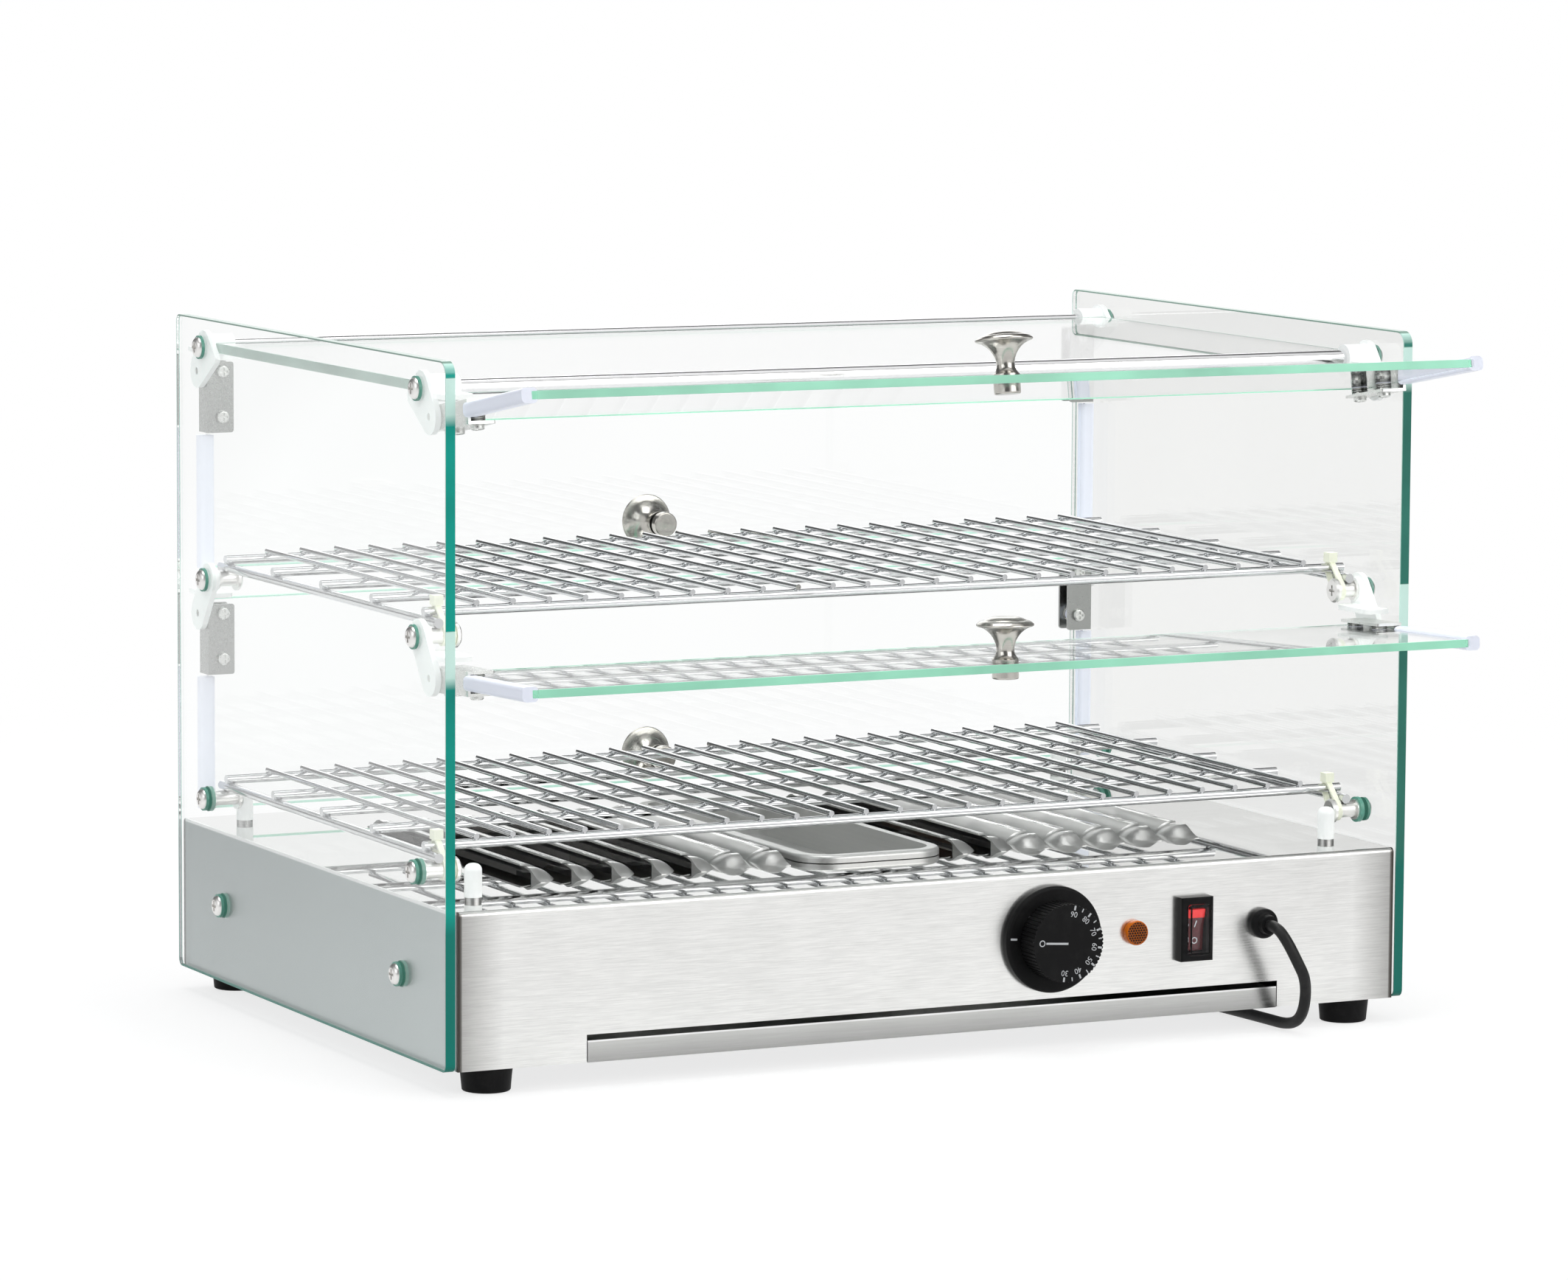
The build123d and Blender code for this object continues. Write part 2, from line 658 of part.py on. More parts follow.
with BuildPart() as nutted:
    add(headed(x_wrap - 2 * nut_h))
    with BuildSketch(Plane.YZ.offset(x_wrap)):
        RegularPolygon(nut_r, 6)
    extrude(amount=-nut_h)
rail_screw = headed(x_rail - 2 * rail_r)
save(both_sides([(rail_screw, fixings), (nutted.part, base_screws_at)]), "glass_screws")
save(both_sides([(shelf_stud(x_block - stud_boss), upper_studs), (shelf_stud(x_glass - grommet_t), lower_studs)]),
     "shelf_studs")
save(both_sides([
    (ring(x_out, x_head, washer_r, screw_r + screw_clearance), fixings + upper_studs + lower_studs + base_screws_at),
    (ring(x_glass - grommet_t, x_glass, grommet_r, screw_r + screw_clearance), lower_studs),
    (ring(x_end, x_glass, grommet_r, screw_r + screw_clearance), base_screws_at)]), "glass_washers")


# Wire shelves on the studs, tied at the front
x_side_rod = x_glass - side_rod_in
side_rod_half = stud_y + side_rod_over
front_rod_y = stud_y - cross_rod_in
cross_pitch = 2 * front_rod_y / (cross_count - 1)
wire_count = 2 * int((x_side_rod - side_rod_in) / wire_pitch) + 1


def shelf_levels(stud_z):
    """Heights of side rods, cross rods and wires over a row of studs."""
    side = stud_z + stud_sleeve_r + side_rod_r + rest_gap
    cross = side + side_rod_r + cross_rod_r - weld
    return side, cross, cross + cross_rod_r + wire_r - weld


with BuildPart() as shelf_grid:
    side, cross, top = shelf_levels(0.0)
    with Locations(*[(s * x_side_rod, 0, side) for s in SIDES]):
        Cylinder(side_rod_r, 2 * side_rod_half, rotation=ALONG_Y)
    with Locations((0, 0, cross)):
        with GridLocations(0, cross_pitch, 1, cross_count):
            Cylinder(cross_rod_r, 2 * (x_side_rod + cross_rod_over), rotation=ALONG_X)
    with Locations((0, 0, top)):
        with GridLocations(wire_pitch, 0, wire_count, 1):
            Cylinder(wire_r, 2 * (front_rod_y + wire_over), rotation=ALONG_Y)

for stud_z, name in ((upper_stud_z, "upper_shelf"), (lower_stud_z, "lower_shelf")):
    with BuildPart(Plane.XY.offset(stud_z)) as shelf:
        add(shelf_grid.part)
    save(shelf, name)

x_tie = (x_glass - stud_inner_x + stud_head_h + x_side_rod - side_rod_r) / 2
with BuildPart() as shelf_ties:
    for stud_z in (upper_stud_z, lower_stud_z):
        rod_z = shelf_levels(stud_z)[1]
        for grow, mode in ((tie_gap + tie_t, Mode.ADD), (tie_gap, Mode.SUBTRACT)):
            with BuildSketch(Plane.YZ.offset(x_tie - tie_width / 2)):
                with Locations((-stud_y, stud_z)):
                    Circle(stud_sleeve_r + grow)
                with Locations((-front_rod_y, rod_z)):
                    Circle(cross_rod_r + grow)
                make_hull()
            extrude(amount=tie_width, mode=mode)
        with Locations((x_tie, -front_rod_y, rod_z + cross_rod_r + tie_gap + tie_t / 2)):
            Box(*tie_head, align=RISE)
    mirror(about=Plane.YZ)
save(shelf_ties, "shelf_ties")

# Bumpers that the closed doors rest near
x_bumper = x_glass - bumper_in_x
cap_z = z_deck + bumper_base_h
with BuildPart() as bumper_pins:
    with Locations(*corners(x_bumper, bumper_y, z_deck)):
        Cylinder(bumper_r - 0.2, bumper_base_h, align=RISE)
        Cylinder(bumper_stem_r, 0.7 * bumper_height, align=RISE)
        Cylinder(bumper_stem_r, bumper_bolt_len, align=SINK)
    with Locations(*corners(x_bumper, bumper_y, z_under_deck)):
        Cylinder(2 * bumper_stem_r, bumper_stem_r, align=SINK)
save(bumper_pins, "bumper_pins")

with BuildPart() as bumper_caps:
    with Locations(*corners(x_bumper, bumper_y, cap_z)):
        Cylinder(bumper_r, bumper_height - bumper_base_h, align=RISE)
    fillet(bumper_caps.edges().group_by(Axis.Z)[-1], 0.75 * bumper_r)
    with Locations(*corners(x_bumper, bumper_y, cap_z)):
        Cylinder(bumper_stem_r + rest_gap, 0.7 * bumper_height - bumper_base_h + rest_gap, align=RISE,
                 mode=Mode.SUBTRACT)
save(bumper_caps, "bumper_caps")

# Thermostat: bezel on the panel, body behind it, dial and shaft that turn
with BuildPart(panel) as thermostat_bezel:
    with Locations((dial_x, control_z, 0)):
        Cylinder(bezel_r, bezel_h, align=RISE)
    fillet(thermostat_bezel.edges().group_by(Axis.Y)[0], 0.35 * bezel_h)
    with Locations((dial_x, control_z, 0)):
        Cylinder(bushing_r + cut_clearance, 4 * bezel_h, mode=Mode.SUBTRACT)
save(thermostat_bezel, "thermostat_bezel")

dial_foot = bezel_h + dial_gap
shaft_in = 0.5 * thermostat_size[2]
with BuildPart() as thermostat_knob:
    with BuildSketch(panel.offset(dial_foot)):
        with Locations((dial_x, control_z)):
            Circle(dial_r)
            with PolarLocations(dial_r, dial_ribs):
                Circle(dial_rib_r, mode=Mode.SUBTRACT)
    extrude(amount=dial_h)
    with BuildSketch(panel.offset(dial_foot)):
        with Locations((dial_x, control_z)):
            Circle(shaft_r)
    extrude(amount=0.7 * dial_h, mode=Mode.SUBTRACT)
save(thermostat_knob, "thermostat_knob")

with BuildPart(panel) as thermostat_shaft:
    with Locations((dial_x, control_z, -shaft_in)):
        Cylinder(shaft_r, shaft_in + dial_foot + 0.7 * dial_h, align=RISE)
save(thermostat_shaft, "thermostat_shaft")

body_back = -sheet - thermostat_size[2]
with BuildPart(panel) as thermostat_case:
    with Locations((dial_x, control_z, -sheet)):
        Box(*thermostat_size, align=SINK)
    with Locations((dial_x, control_z, -2 * sheet)):
        Cylinder(bushing_r, 2 * sheet + 0.8 * bezel_h, align=RISE)
    with Locations((dial_x, control_z, -shaft_in - dial_gap)):
        Cylinder(shaft_r + shaft_clearance, 4 * shaft_in, align=RISE, mode=Mode.SUBTRACT)

y_back = -y_half - body_back
z_bulb = z_under_deck - bulb_drop
bulb_mid = bulb_front + bulb_len / 2
capillary_turn = (y_back + bulb_front) / 2
capillary = [(bulb_x, y_back, control_z + 8), (bulb_x, capillary_turn, control_z + 8),
             (bulb_x, capillary_turn, z_bulb), (bulb_x, bulb_front, z_bulb)]
with BuildPart() as thermostat_body:
    add(thermostat_case.part)
    add(tube(capillary, 6.0, capillary_r)[0])
    with Locations((bulb_x, bulb_mid, z_bulb)):
        Cylinder(bulb_r, bulb_len, rotation=ALONG_Y)
save(thermostat_body, "thermostat_body")

# Pilot lamp
with BuildPart(panel) as lamp_lens:
    with Locations((lamp_x, control_z, 0)):
        Cylinder(lamp_r, lamp_h, align=RISE)
    fillet(lamp_lens.edges().group_by(Axis.Y)[0], 0.15 * lamp_h)
    with Locations((lamp_x, control_z, 0)):
        Cylinder(lamp_neck_r, 3 * sheet, align=SINK)
save(lamp_lens, "lamp_lens")

with BuildPart(panel) as lamp_body:
    with Locations((lamp_x, control_z, -sheet)):
        Cylinder(lamp_body_r, lamp_body_len, align=SINK)
        Cylinder(lamp_neck_r + rest_gap, 2 * sheet, align=SINK, mode=Mode.SUBTRACT)
save(lamp_body, "lamp_body")

# Rocker switch
with BuildPart(panel) as switch_housing:
    with Locations((switch_x, control_z, 0)):
        Box(*switch_size, switch_proud, align=RISE)
    chamfer(switch_housing.edges().group_by(Axis.Y)[0], 0.12 * switch_proud)
    with Locations((switch_x, control_z, 0)):
        Box(*switch_body, switch_depth, align=SINK)
    with Locations((switch_x, control_z, switch_proud)):
        Box(*switch_window, switch_proud + switch_well, align=SINK, mode=Mode.SUBTRACT)
    with Locations((switch_x, control_z, -rocker_pivot_in)):
        Cylinder(trunnion_r + shaft_clearance, switch_window[0] + 2 * trunnion_r, rotation=ALONG_X,
                 mode=Mode.SUBTRACT)
save(switch_housing, "switch_housing")

rocker_half = rocker_size[1] / 2
rocker_lean = radians(rocker_tilt)
rocker_plane = Plane(origin=(switch_x, -y_half + rocker_pivot_in, control_z),
                     x_dir=(0, -sin(rocker_lean), cos(rocker_lean)), z_dir=(1, 0, 0))
with BuildPart() as rocker:
    with BuildSketch(rocker_plane.offset(-rocker_size[0] / 2)):
        with BuildLine():
            Polyline((-rocker_half, 0.55 * rocker_crown), (-rocker_half, rocker_crown), (0, 0.82 * rocker_crown),
                     (rocker_half, rocker_crown), (rocker_half, 0.55 * rocker_crown), (0.3 * rocker_half, -trunnion_r),
                     (-0.3 * rocker_half, -trunnion_r), (-rocker_half, 0.55 * rocker_crown))
        make_face()
    extrude(amount=rocker_size[0])
    with BuildSketch(rocker_plane.offset(-switch_window[0] / 2 - 0.8 * trunnion_r)):
        Circle(trunnion_r)
    extrude(amount=switch_window[0] + 1.6 * trunnion_r)
save(rocker, "rocker")

with BuildPart(panel) as switch_cover:
    with Locations((switch_x, control_z, switch_proud)):
        Box(switch_window[0] + 2 * cover_wall, switch_window[1] + 2 * cover_wall, cover_proud, align=RISE)
    fillet(switch_cover.edges().filter_by(Axis.Y), 1.6 * cover_wall)
    fillet(switch_cover.edges().group_by(Axis.Y)[0], 0.8 * cover_wall)
    with Locations((switch_x, control_z, switch_proud)):
        Box(switch_window[0] - cover_wall, switch_window[1] - cover_wall, cover_proud - cover_wall, align=RISE,
            mode=Mode.SUBTRACT)
save(switch_cover, "switch_cover")

# Cord bushing
with BuildPart(panel) as cord_gland:
    with Locations((gland_x, control_z, 0)):
        Cylinder(gland_flange_r, gland_flange_h, align=RISE)
    fillet(cord_gland.edges().group_by(Axis.Y)[0], 0.55 * gland_flange_h)
    with Locations((gland_x, control_z, 0)):
        Cylinder(gland_thread_r, sheet, align=SINK)
    with Locations((gland_x, control_z, gland_flange_h)):
        Cone(gland_tip_r + 0.6, gland_tip_r, gland_len - gland_flange_h, align=RISE)
    with Locations((gland_x, control_z, -sheet)):
        Cylinder(gland_flange_r + 1.0, gland_nut_h, align=SINK)
save(cord_gland, "cord_gland")

# Heating elements, hung from the deck on brackets
z_element = z_under_deck - element_drop
legs = (element_x - element_half, element_x + element_half)
with BuildPart() as heating_elements:
    with BuildLine() as bend:
        Line((legs[0], element_front, z_element), (legs[0], element_back, z_element))
        ThreePointArc((legs[0], element_back, z_element), (element_x, element_back + element_half, z_element),
                      (legs[1], element_back, z_element))
        Line((legs[1], element_back, z_element), (legs[1], element_front, z_element))
    with BuildSketch(Plane(origin=(legs[0], element_front, z_element), z_dir=(0, 1, 0))):
        Circle(element_r)
    sweep(path=bend.wire())
    with Locations(*[(x, element_front, z_element) for x in legs]):
        Cylinder(terminal_r, 2 * terminal_len, rotation=ALONG_Y)
    mirror(about=Plane.YZ)
save(heating_elements, "heating_elements")

bracket_low = z_element - element_r - bracket_margin
with BuildPart() as element_brackets:
    with Locations(*[(element_x, s * bracket_y, bracket_low) for s in SIDES]):
        Box(2 * (element_half + element_r + bracket_margin), bracket_t, z_under_deck - bracket_low, align=RISE)
    with Locations(*[(element_x, s * (bracket_y + bracket_margin / 2), z_under_deck) for s in SIDES]):
        Box(2 * (element_half + element_r + bracket_margin), bracket_margin + bracket_t, bracket_t, align=SINK)
    with Locations(*[(x, s * bracket_y, z_element) for x in legs for s in SIDES]):
        Cylinder(element_r + rest_gap, 8 * bracket_t, rotation=ALONG_Y, mode=Mode.SUBTRACT)
    mirror(about=Plane.YZ)
    with Locations((bulb_x, bulb_mid, z_under_deck)):
        Box(4 * bulb_r, bracket_margin, bulb_drop + 2 * bulb_r, align=SINK)
    with Locations((bulb_x, 0, z_bulb)):
        Cylinder(bulb_r + rest_gap, 4 * bulb_len, rotation=ALONG_Y, mode=Mode.SUBTRACT)
save(element_brackets, "element_brackets")

with BuildPart() as terminal_block:
    with Locations((block_x, block_y, z_floor)):
        Box(*block_size, align=RISE)
    with Locations((block_x, block_y, z_floor + block_size[2])):
        with GridLocations(block_size[0] / 2, block_size[1] / 4, 2, 4):
            Cylinder(terminal_r, terminal_r, align=SINK, mode=Mode.SUBTRACT)
save(terminal_block, "terminal_block")

z_block = z_floor + block_size[2]
y_gland = -y_half + sheet + gland_nut_h
y_switch = -y_half + switch_depth
y_lamp = -y_half + sheet + lamp_body_len
y_term = element_front - terminal_len
post_y = [block_y + block_size[1] * f for f in (-0.43, -0.25, 0.0, 0.25)]
post_x = (block_x - 0.43 * block_size[0], block_x, block_x + 0.43 * block_size[0])
lead_bend = 6.0
looms = [
    [(gland_x, y_gland, control_z), (gland_x, post_y[1], control_z), (post_x[1], post_y[1], control_z),
     (post_x[1], post_y[1], z_block)],
    [(switch_x, y_switch, control_z + 8), (switch_x, post_y[2], control_z + 8), (post_x[0], post_y[2], control_z + 8),
     (post_x[0], post_y[2], z_block)],
    [(switch_x, y_switch, control_z - 8), (switch_x, y_switch + 20, control_z - 8),
     (dial_x + 6, y_switch + 20, control_z - 8), (dial_x + 6, y_back, control_z - 8)],
    [(dial_x - 6, y_back, control_z + 4), (dial_x - 6, y_term - 20, control_z + 4),
     (legs[0], y_term - 20, z_element), (legs[0], y_term, z_element)],
    [(lamp_x, y_lamp, control_z), (lamp_x, y_lamp + 12, control_z), (switch_x - 5, y_lamp + 12, control_z),
     (switch_x - 5, y_switch, control_z)],
    [(legs[1], y_term, z_element), (legs[1], post_y[3], z_element), (post_x[2], post_y[3], z_element),
     (post_x[2], post_y[3], z_block)],
    [(-legs[0], y_term, z_element), (-legs[0], y_term - 24, z_element), (dial_x - 14, y_term - 24, z_element),
     (dial_x - 14, y_back, z_element)],
    [(-legs[1], y_term, z_element), (-legs[1], y_term - 16, z_element), (-legs[1], post_y[0], z_element + 9),
     (post_x[2], post_y[0], z_element + 9), (post_x[2], post_y[0], z_block)],
]
with BuildPart() as wiring:
    for points in looms:
        add(tube(points, lead_bend, wire_lead_r)[0])
save(wiring, "wiring")

# Doors. Each is drawn flat: X along the pin, Y from the free edge up to the pin, Z out of the case.
clamp_screws_at = [(s * (x_clamp - clamp_screw_in), y) for s in SIDES for y in (0.0, -clamp_pitch)]
z_outer_plate = door_t / 2 + clamp_outer_gap
z_inner_plate = -door_t / 2 - clamp_inner_gap

with BuildPart() as door_glass:
    with BuildSketch(Plane.XY.offset(-door_t / 2)):
        with Locations((0, (door_top - door_drop) / 2)):
            RectangleRounded(2 * x_door, door_top + door_drop, door_corner_r)
        with Locations((0, -knob_drop)):
            Circle(knob_screw_r + 4 * screw_clearance, mode=Mode.SUBTRACT)
        with Locations(*clamp_screws_at):
            Circle(clamp_screw_r + 3 * screw_clearance, mode=Mode.SUBTRACT)
    extrude(amount=door_t)

with BuildPart() as door_knob:
    foot = door_t / 2
    crown = foot + knob_height
    with BuildSketch(Plane(origin=(0, -knob_drop, 0), x_dir=(1, 0, 0), z_dir=(0, -1, 0))):
        with BuildLine():
            Polyline((0, foot), (knob_base_r, foot), (knob_base_r, foot + 0.07 * knob_height))
            ThreePointArc((knob_base_r, foot + 0.07 * knob_height),
                          (knob_neck_r + 0.7, foot + 0.15 * knob_height), (knob_neck_r, foot + 0.3 * knob_height))
            ThreePointArc((knob_neck_r, foot + 0.3 * knob_height), (0.5 * knob_r, foot + 0.6 * knob_height),
                          (0.97 * knob_r, foot + 0.79 * knob_height))
            ThreePointArc((0.97 * knob_r, foot + 0.79 * knob_height), (knob_r, foot + 0.82 * knob_height),
                          (0.97 * knob_r, foot + 0.85 * knob_height))
            ThreePointArc((0.97 * knob_r, foot + 0.85 * knob_height), (0.86 * knob_r, foot + 0.9 * knob_height),
                          (0.74 * knob_r, foot + 0.92 * knob_height))
            ThreePointArc((0.74 * knob_r, foot + 0.92 * knob_height), (0.55 * knob_r, foot + 0.978 * knob_height),
                          (knob_flat * knob_r, crown))
            Polyline((knob_flat * knob_r, crown), (0, crown), (0, foot))
        make_face()
    revolve(axis=Axis((0, -knob_drop, 0), (0, 0, 1)))
    with Locations((0, -knob_drop, foot)):
        Cylinder(knob_screw_r + rest_gap, 0.4 * knob_height, align=RISE, mode=Mode.SUBTRACT)
    with Locations((0, -knob_drop, -foot)):
        Cylinder(knob_base_r, knob_nut_h, align=SINK)
        Cylinder(knob_screw_r, door_t + 0.38 * knob_height, align=RISE)
    fillet(door_knob.edges().group_by(Axis.Z)[0], 0.2 * knob_nut_h)

clamp_mid = clamp_above - clamp_length / 2
with BuildPart() as door_clamps:
    with Locations((x_clamp, clamp_mid, z_outer_plate)):
        Box(clamp_width, clamp_length, clamp_t, align=(Align.MAX, Align.CENTER, Align.MIN))
    with Locations((x_clamp, clamp_mid, z_inner_plate)):
        Box(clamp_width, clamp_length, clamp_t, align=(Align.MAX, Align.CENTER, Align.MAX))
    with Locations((x_clamp, clamp_mid, z_inner_plate - clamp_t)):
        Box(clamp_t, clamp_length, z_outer_plate - z_inner_plate + 2 * clamp_t,
            align=(Align.MAX, Align.CENTER, Align.MIN))
    fillet(door_clamps.edges().filter_by(Axis.Z).group_by(Axis.X)[0], clamp_t)
    with Locations((x_clamp - clamp_t / 2, 0, 0)):
        Cylinder(pin_r, x_glass - pin_end_gap - x_clamp + clamp_t / 2, rotation=ALONG_X, align=RISE)
    mirror(about=Plane.YZ)
    with Locations(*[(x, y, 0) for x, y in clamp_screws_at]):
        Cylinder(clamp_screw_r + screw_clearance, 8 * door_t, mode=Mode.SUBTRACT)

with BuildPart() as door_screws:
    with Locations(*[(x, y, z_inner_plate - clamp_t) for x, y in clamp_screws_at]):
        Cylinder(clamp_head_r, clamp_head_h, align=SINK)
        Cylinder(clamp_screw_r, z_outer_plate - z_inner_plate + 2 * clamp_t, align=RISE)
    fillet(door_screws.edges().group_by(Axis.Z)[0], 0.4 * clamp_head_h)
    with Locations(*[(x, y, z_inner_plate - clamp_t - clamp_head_h) for x, y in clamp_screws_at]):
        Box(0.32 * clamp_head_r, 1.3 * clamp_head_r, 0.8 * clamp_head_h, mode=Mode.SUBTRACT)
        Box(1.3 * clamp_head_r, 0.32 * clamp_head_r, 0.8 * clamp_head_h, mode=Mode.SUBTRACT)

x_seal = x_glass - seal_side_gap
seal_len = door_drop - seal_start
with BuildPart() as door_seals:
    with BuildSketch(Plane(origin=(0, -seal_start, 0), x_dir=(1, 0, 0), z_dir=(0, -1, 0))):
        with Locations(((x_seal + x_door - seal_grip) / 2, 0)):
            RectangleRounded(x_seal - x_door + seal_grip, seal_height, 0.3 * seal_height)
        with Locations((x_door + seal_clearance, 0)):
            Rectangle(4 * seal_grip, door_t + 2 * seal_clearance, align=(Align.MAX, Align.CENTER), mode=Mode.SUBTRACT)
    extrude(amount=seal_len)
    mirror(about=Plane.YZ)
    with Locations(*[(x, y, door_t / 2) for x, y in clamp_screws_at]):
        Cylinder(sleeve_r, clamp_outer_gap, align=RISE)
    with Locations(*[(x, y, -door_t / 2) for x, y in clamp_screws_at]):
        Cylinder(sleeve_r, clamp_inner_gap, align=SINK)
    with Locations(*[(x, y, 0) for x, y in clamp_screws_at]):
        Cylinder(clamp_screw_r + screw_clearance, 8 * door_t, mode=Mode.SUBTRACT)


def door_plane(side, pin_z, opened):
    """Plane of a door whose pin is at pin_z, at the front (-1) or the back (1), opened by that many degrees."""
    swing = radians(opened)
    return Plane(origin=(0, side * pin_y, pin_z), x_dir=(-side, 0, 0), z_dir=(0, side * cos(swing), sin(swing)))


doors = {
    "front_upper": door_plane(-1, upper_pin_z, front_upper_open),
    "front_lower": door_plane(-1, lower_pin_z, front_lower_open),
    "rear_upper": door_plane(1, upper_pin_z, 0.0),
    "rear_lower": door_plane(1, lower_pin_z, 0.0),
}
door_pieces = {
    "glass": door_glass.part,
    "knob": door_knob.part,
    "clamps": door_clamps.part,
    "clamp_screws": door_screws.part,
    "seals": door_seals.part,
}
for door, plane in doors.items():
    for piece, drawn in door_pieces.items():
        with BuildPart(plane) as placed:
            add(drawn)
        save(placed, f"{door}_{piece}")

# Power cord: down from the bushing, back under the base and into a coil behind it
cord_z = cord_r + cord_clear
coil_z = cord_r + coil_lift
entry = (coil_centre[0] + coil_outer_r, coil_centre[1])
lead_points = [
    (gland_x, -y_half - gland_len, control_z),
    (gland_x, -y_half - gland_len - 7.5, control_z),
    (gland_x + 2.0, -y_half - 23.5, control_z - 6.5),
    (gland_x + 7.0, -y_half - 25.5, control_z - 17.0),
    (gland_x + 13.4, -y_half - 25.0, control_z - 28.5),
    (gland_x + 15.0, -y_half - 19.5, cord_z + 7.8),
    (gland_x + 15.0, -y_half - 6.5, cord_z),
    (gland_x + 13.8, -y_half + 19.5, cord_z),
    (gland_x + 9.6, -y_half + 70.5, cord_z),
    (gland_x, -y_half + 152.5, cord_z),
    (gland_x - 14.0, y_half - 130.5, cord_z),
    (gland_x - 25.4, y_half - 54.5, cord_z),
    (entry[0], y_half + 7.5, coil_z),
    (entry[0], entry[1] - 2 * cord_r, coil_z),
]


def corner_radii(points):
    """Largest tangent arc at each corner: 0.45 of the shorter run over the tangent of half the turn."""
    radii = []
    for a, b, c in zip(points, points[1:], points[2:]):
        run_in = Vector(b) - Vector(a)
        run_out = Vector(c) - Vector(b)
        half_turn = radians(run_in.get_angle(run_out)) / 2
        radii.append(0.45 * min(run_in.length, run_out.length) / tan(half_turn))
    return radii


lead_radii = corner_radii(lead_points)
with BuildPart() as power_lead:
    solid, lead_length = tube(lead_points, lead_radii, cord_r)
    add(solid)
save(power_lead, "power_lead")
print("cord radii", [round(r, 1) for r in lead_radii])
print("cord volume over section times length", power_lead.part.volume / (pi * cord_r**2 * lead_length))


def coil_point(turn):
    """Centre line of the coil: spirals in, climbs a layer round the middle turn, spirals out again."""
    middle = coil_turns / 2
    r = coil_outer_r - coil_pitch * (middle - abs(turn - middle))
    climb = min(max((turn - middle) / 0.5 + 0.5, 0.0), 1.0)
    z = coil_z + coil_pitch * climb * climb * (3 - 2 * climb)
    angle = 2 * pi * turn
    return Vector(coil_centre[0] + r * cos(angle), coil_centre[1] + r * sin(angle), z)


def coil_tangent(turn):
    """Direction of the coil, straight back at both ends."""
    if turn in (0, coil_turns):
        return Vector(0, 1, 0)
    return (coil_point(turn + 0.01) - coil_point(turn - 0.01)).normalized()


def biarc(p0, t0, p1, t1):
    """Joint of the two tangent arcs from p0 along t0 to p1 along t1, and the direction there."""
    v = p1 - p0
    across = 2 * (1 - t0.dot(t1))
    along = v.dot(t0 + t1)
    d = (sqrt(along * along + across * v.dot(v)) - along) / across
    q0 = p0 + t0 * d
    q1 = p1 - t1 * d
    return (q0 + q1) * 0.5, (q1 - q0).normalized()


quarters = [i / 4 for i in range(4 * coil_turns + 1)]
coil_start = Vector(*lead_points[-1])
coil_end = coil_point(coil_turns) + Vector(0, coil_tail, 0)
with BuildPart() as lead_coil:
    with BuildLine() as winding:
        Line(coil_start, coil_point(0))
        for a, b in zip(quarters, quarters[1:]):
            joint, heading = biarc(coil_point(a), coil_tangent(a), coil_point(b), coil_tangent(b))
            TangentArc(coil_point(a), joint, tangent=coil_tangent(a))
            TangentArc(joint, coil_point(b), tangent=heading)
        Line(coil_point(coil_turns), coil_end)
    coil_path = winding.wire()
    with BuildSketch(Plane(origin=coil_start, z_dir=(0, 1, 0))):
        Circle(cord_r)
    sweep(path=coil_path)
save(lead_coil, "lead_coil")

steps = 120
samples = [coil_point(i / steps) for i in range(coil_turns * steps + 1)]
least = min((p - q).length for i, p in enumerate(samples) for q in samples[i + steps // 3::2])
print("coil gap to itself", round(least - 2 * cord_r, 2))
print("cord length", round(lead_length + coil_path.length))
print("coil volume over section times length", lead_coil.part.volume / (pi * cord_r**2 * coil_path.length))

layers_r = (coil_outer_r - 2.5 * coil_pitch, coil_outer_r - 0.5 * coil_pitch)
tie_x = coil_centre[0] - (layers_r[0] + layers_r[1]) / 2
tie_z = coil_z + coil_pitch / 2
tie_half_x = (layers_r[1] - layers_r[0]) / 2 + cord_r + coil_tie_gap
tie_half_z = coil_pitch / 2 + cord_r + coil_tie_gap
with BuildPart() as coil_tie:
    with BuildSketch(Plane(origin=(tie_x, coil_centre[1] - coil_tie_width / 2, tie_z), x_dir=(1, 0, 0),
                           z_dir=(0, 1, 0))):
        RectangleRounded(2 * (tie_half_x + coil_tie_t), 2 * (tie_half_z + coil_tie_t), 2 * coil_tie_t)
        RectangleRounded(2 * tie_half_x, 2 * tie_half_z, coil_tie_t, mode=Mode.SUBTRACT)
    extrude(amount=coil_tie_width)
save(coil_tie, "coil_tie")

plug_plane = Plane(origin=coil_end, x_dir=(-1, 0, 0), z_dir=(0, 1, 0))
with BuildPart() as plug:
    with BuildSketch(plug_plane):
        Circle(cord_r + 1.2)
    with BuildSketch(plug_plane.offset(plug_neck)):
        Circle(cord_r + 2.4)
    loft()
    with BuildSketch(plug_plane.offset(plug_neck)):
        RectangleRounded(0.5 * plug_width, 0.6 * plug_t, 0.25 * plug_t)
    with BuildSketch(plug_plane.offset(plug_neck + 0.55 * plug_len)):
        RectangleRounded(plug_width, plug_t, 0.3 * plug_t)
    loft()
    with BuildSketch(plug_plane.offset(plug_neck + 0.55 * plug_len)):
        RectangleRounded(plug_width, plug_t, 0.3 * plug_t)
    extrude(amount=0.45 * plug_len)
    with BuildSketch(plug_plane.offset(plug_neck + plug_len)):
        with Locations(Location((-6.8, 3.4), 30), Location((6.8, 3.4), -30)):
            Rectangle(1.6, 6.4)
        with Locations((0, -6.0)):
            Rectangle(1.6, 6.4)
    extrude(amount=blade_len)
save(plug, "plug")
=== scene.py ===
"""Looks of a countertop heated display case: finishes for its sheet, glass and wire, and its fine pieces.

Metres. X runs to the right, Y to the back and Z up from the worktop, as in the frame it is built around.
"""
import json
import math

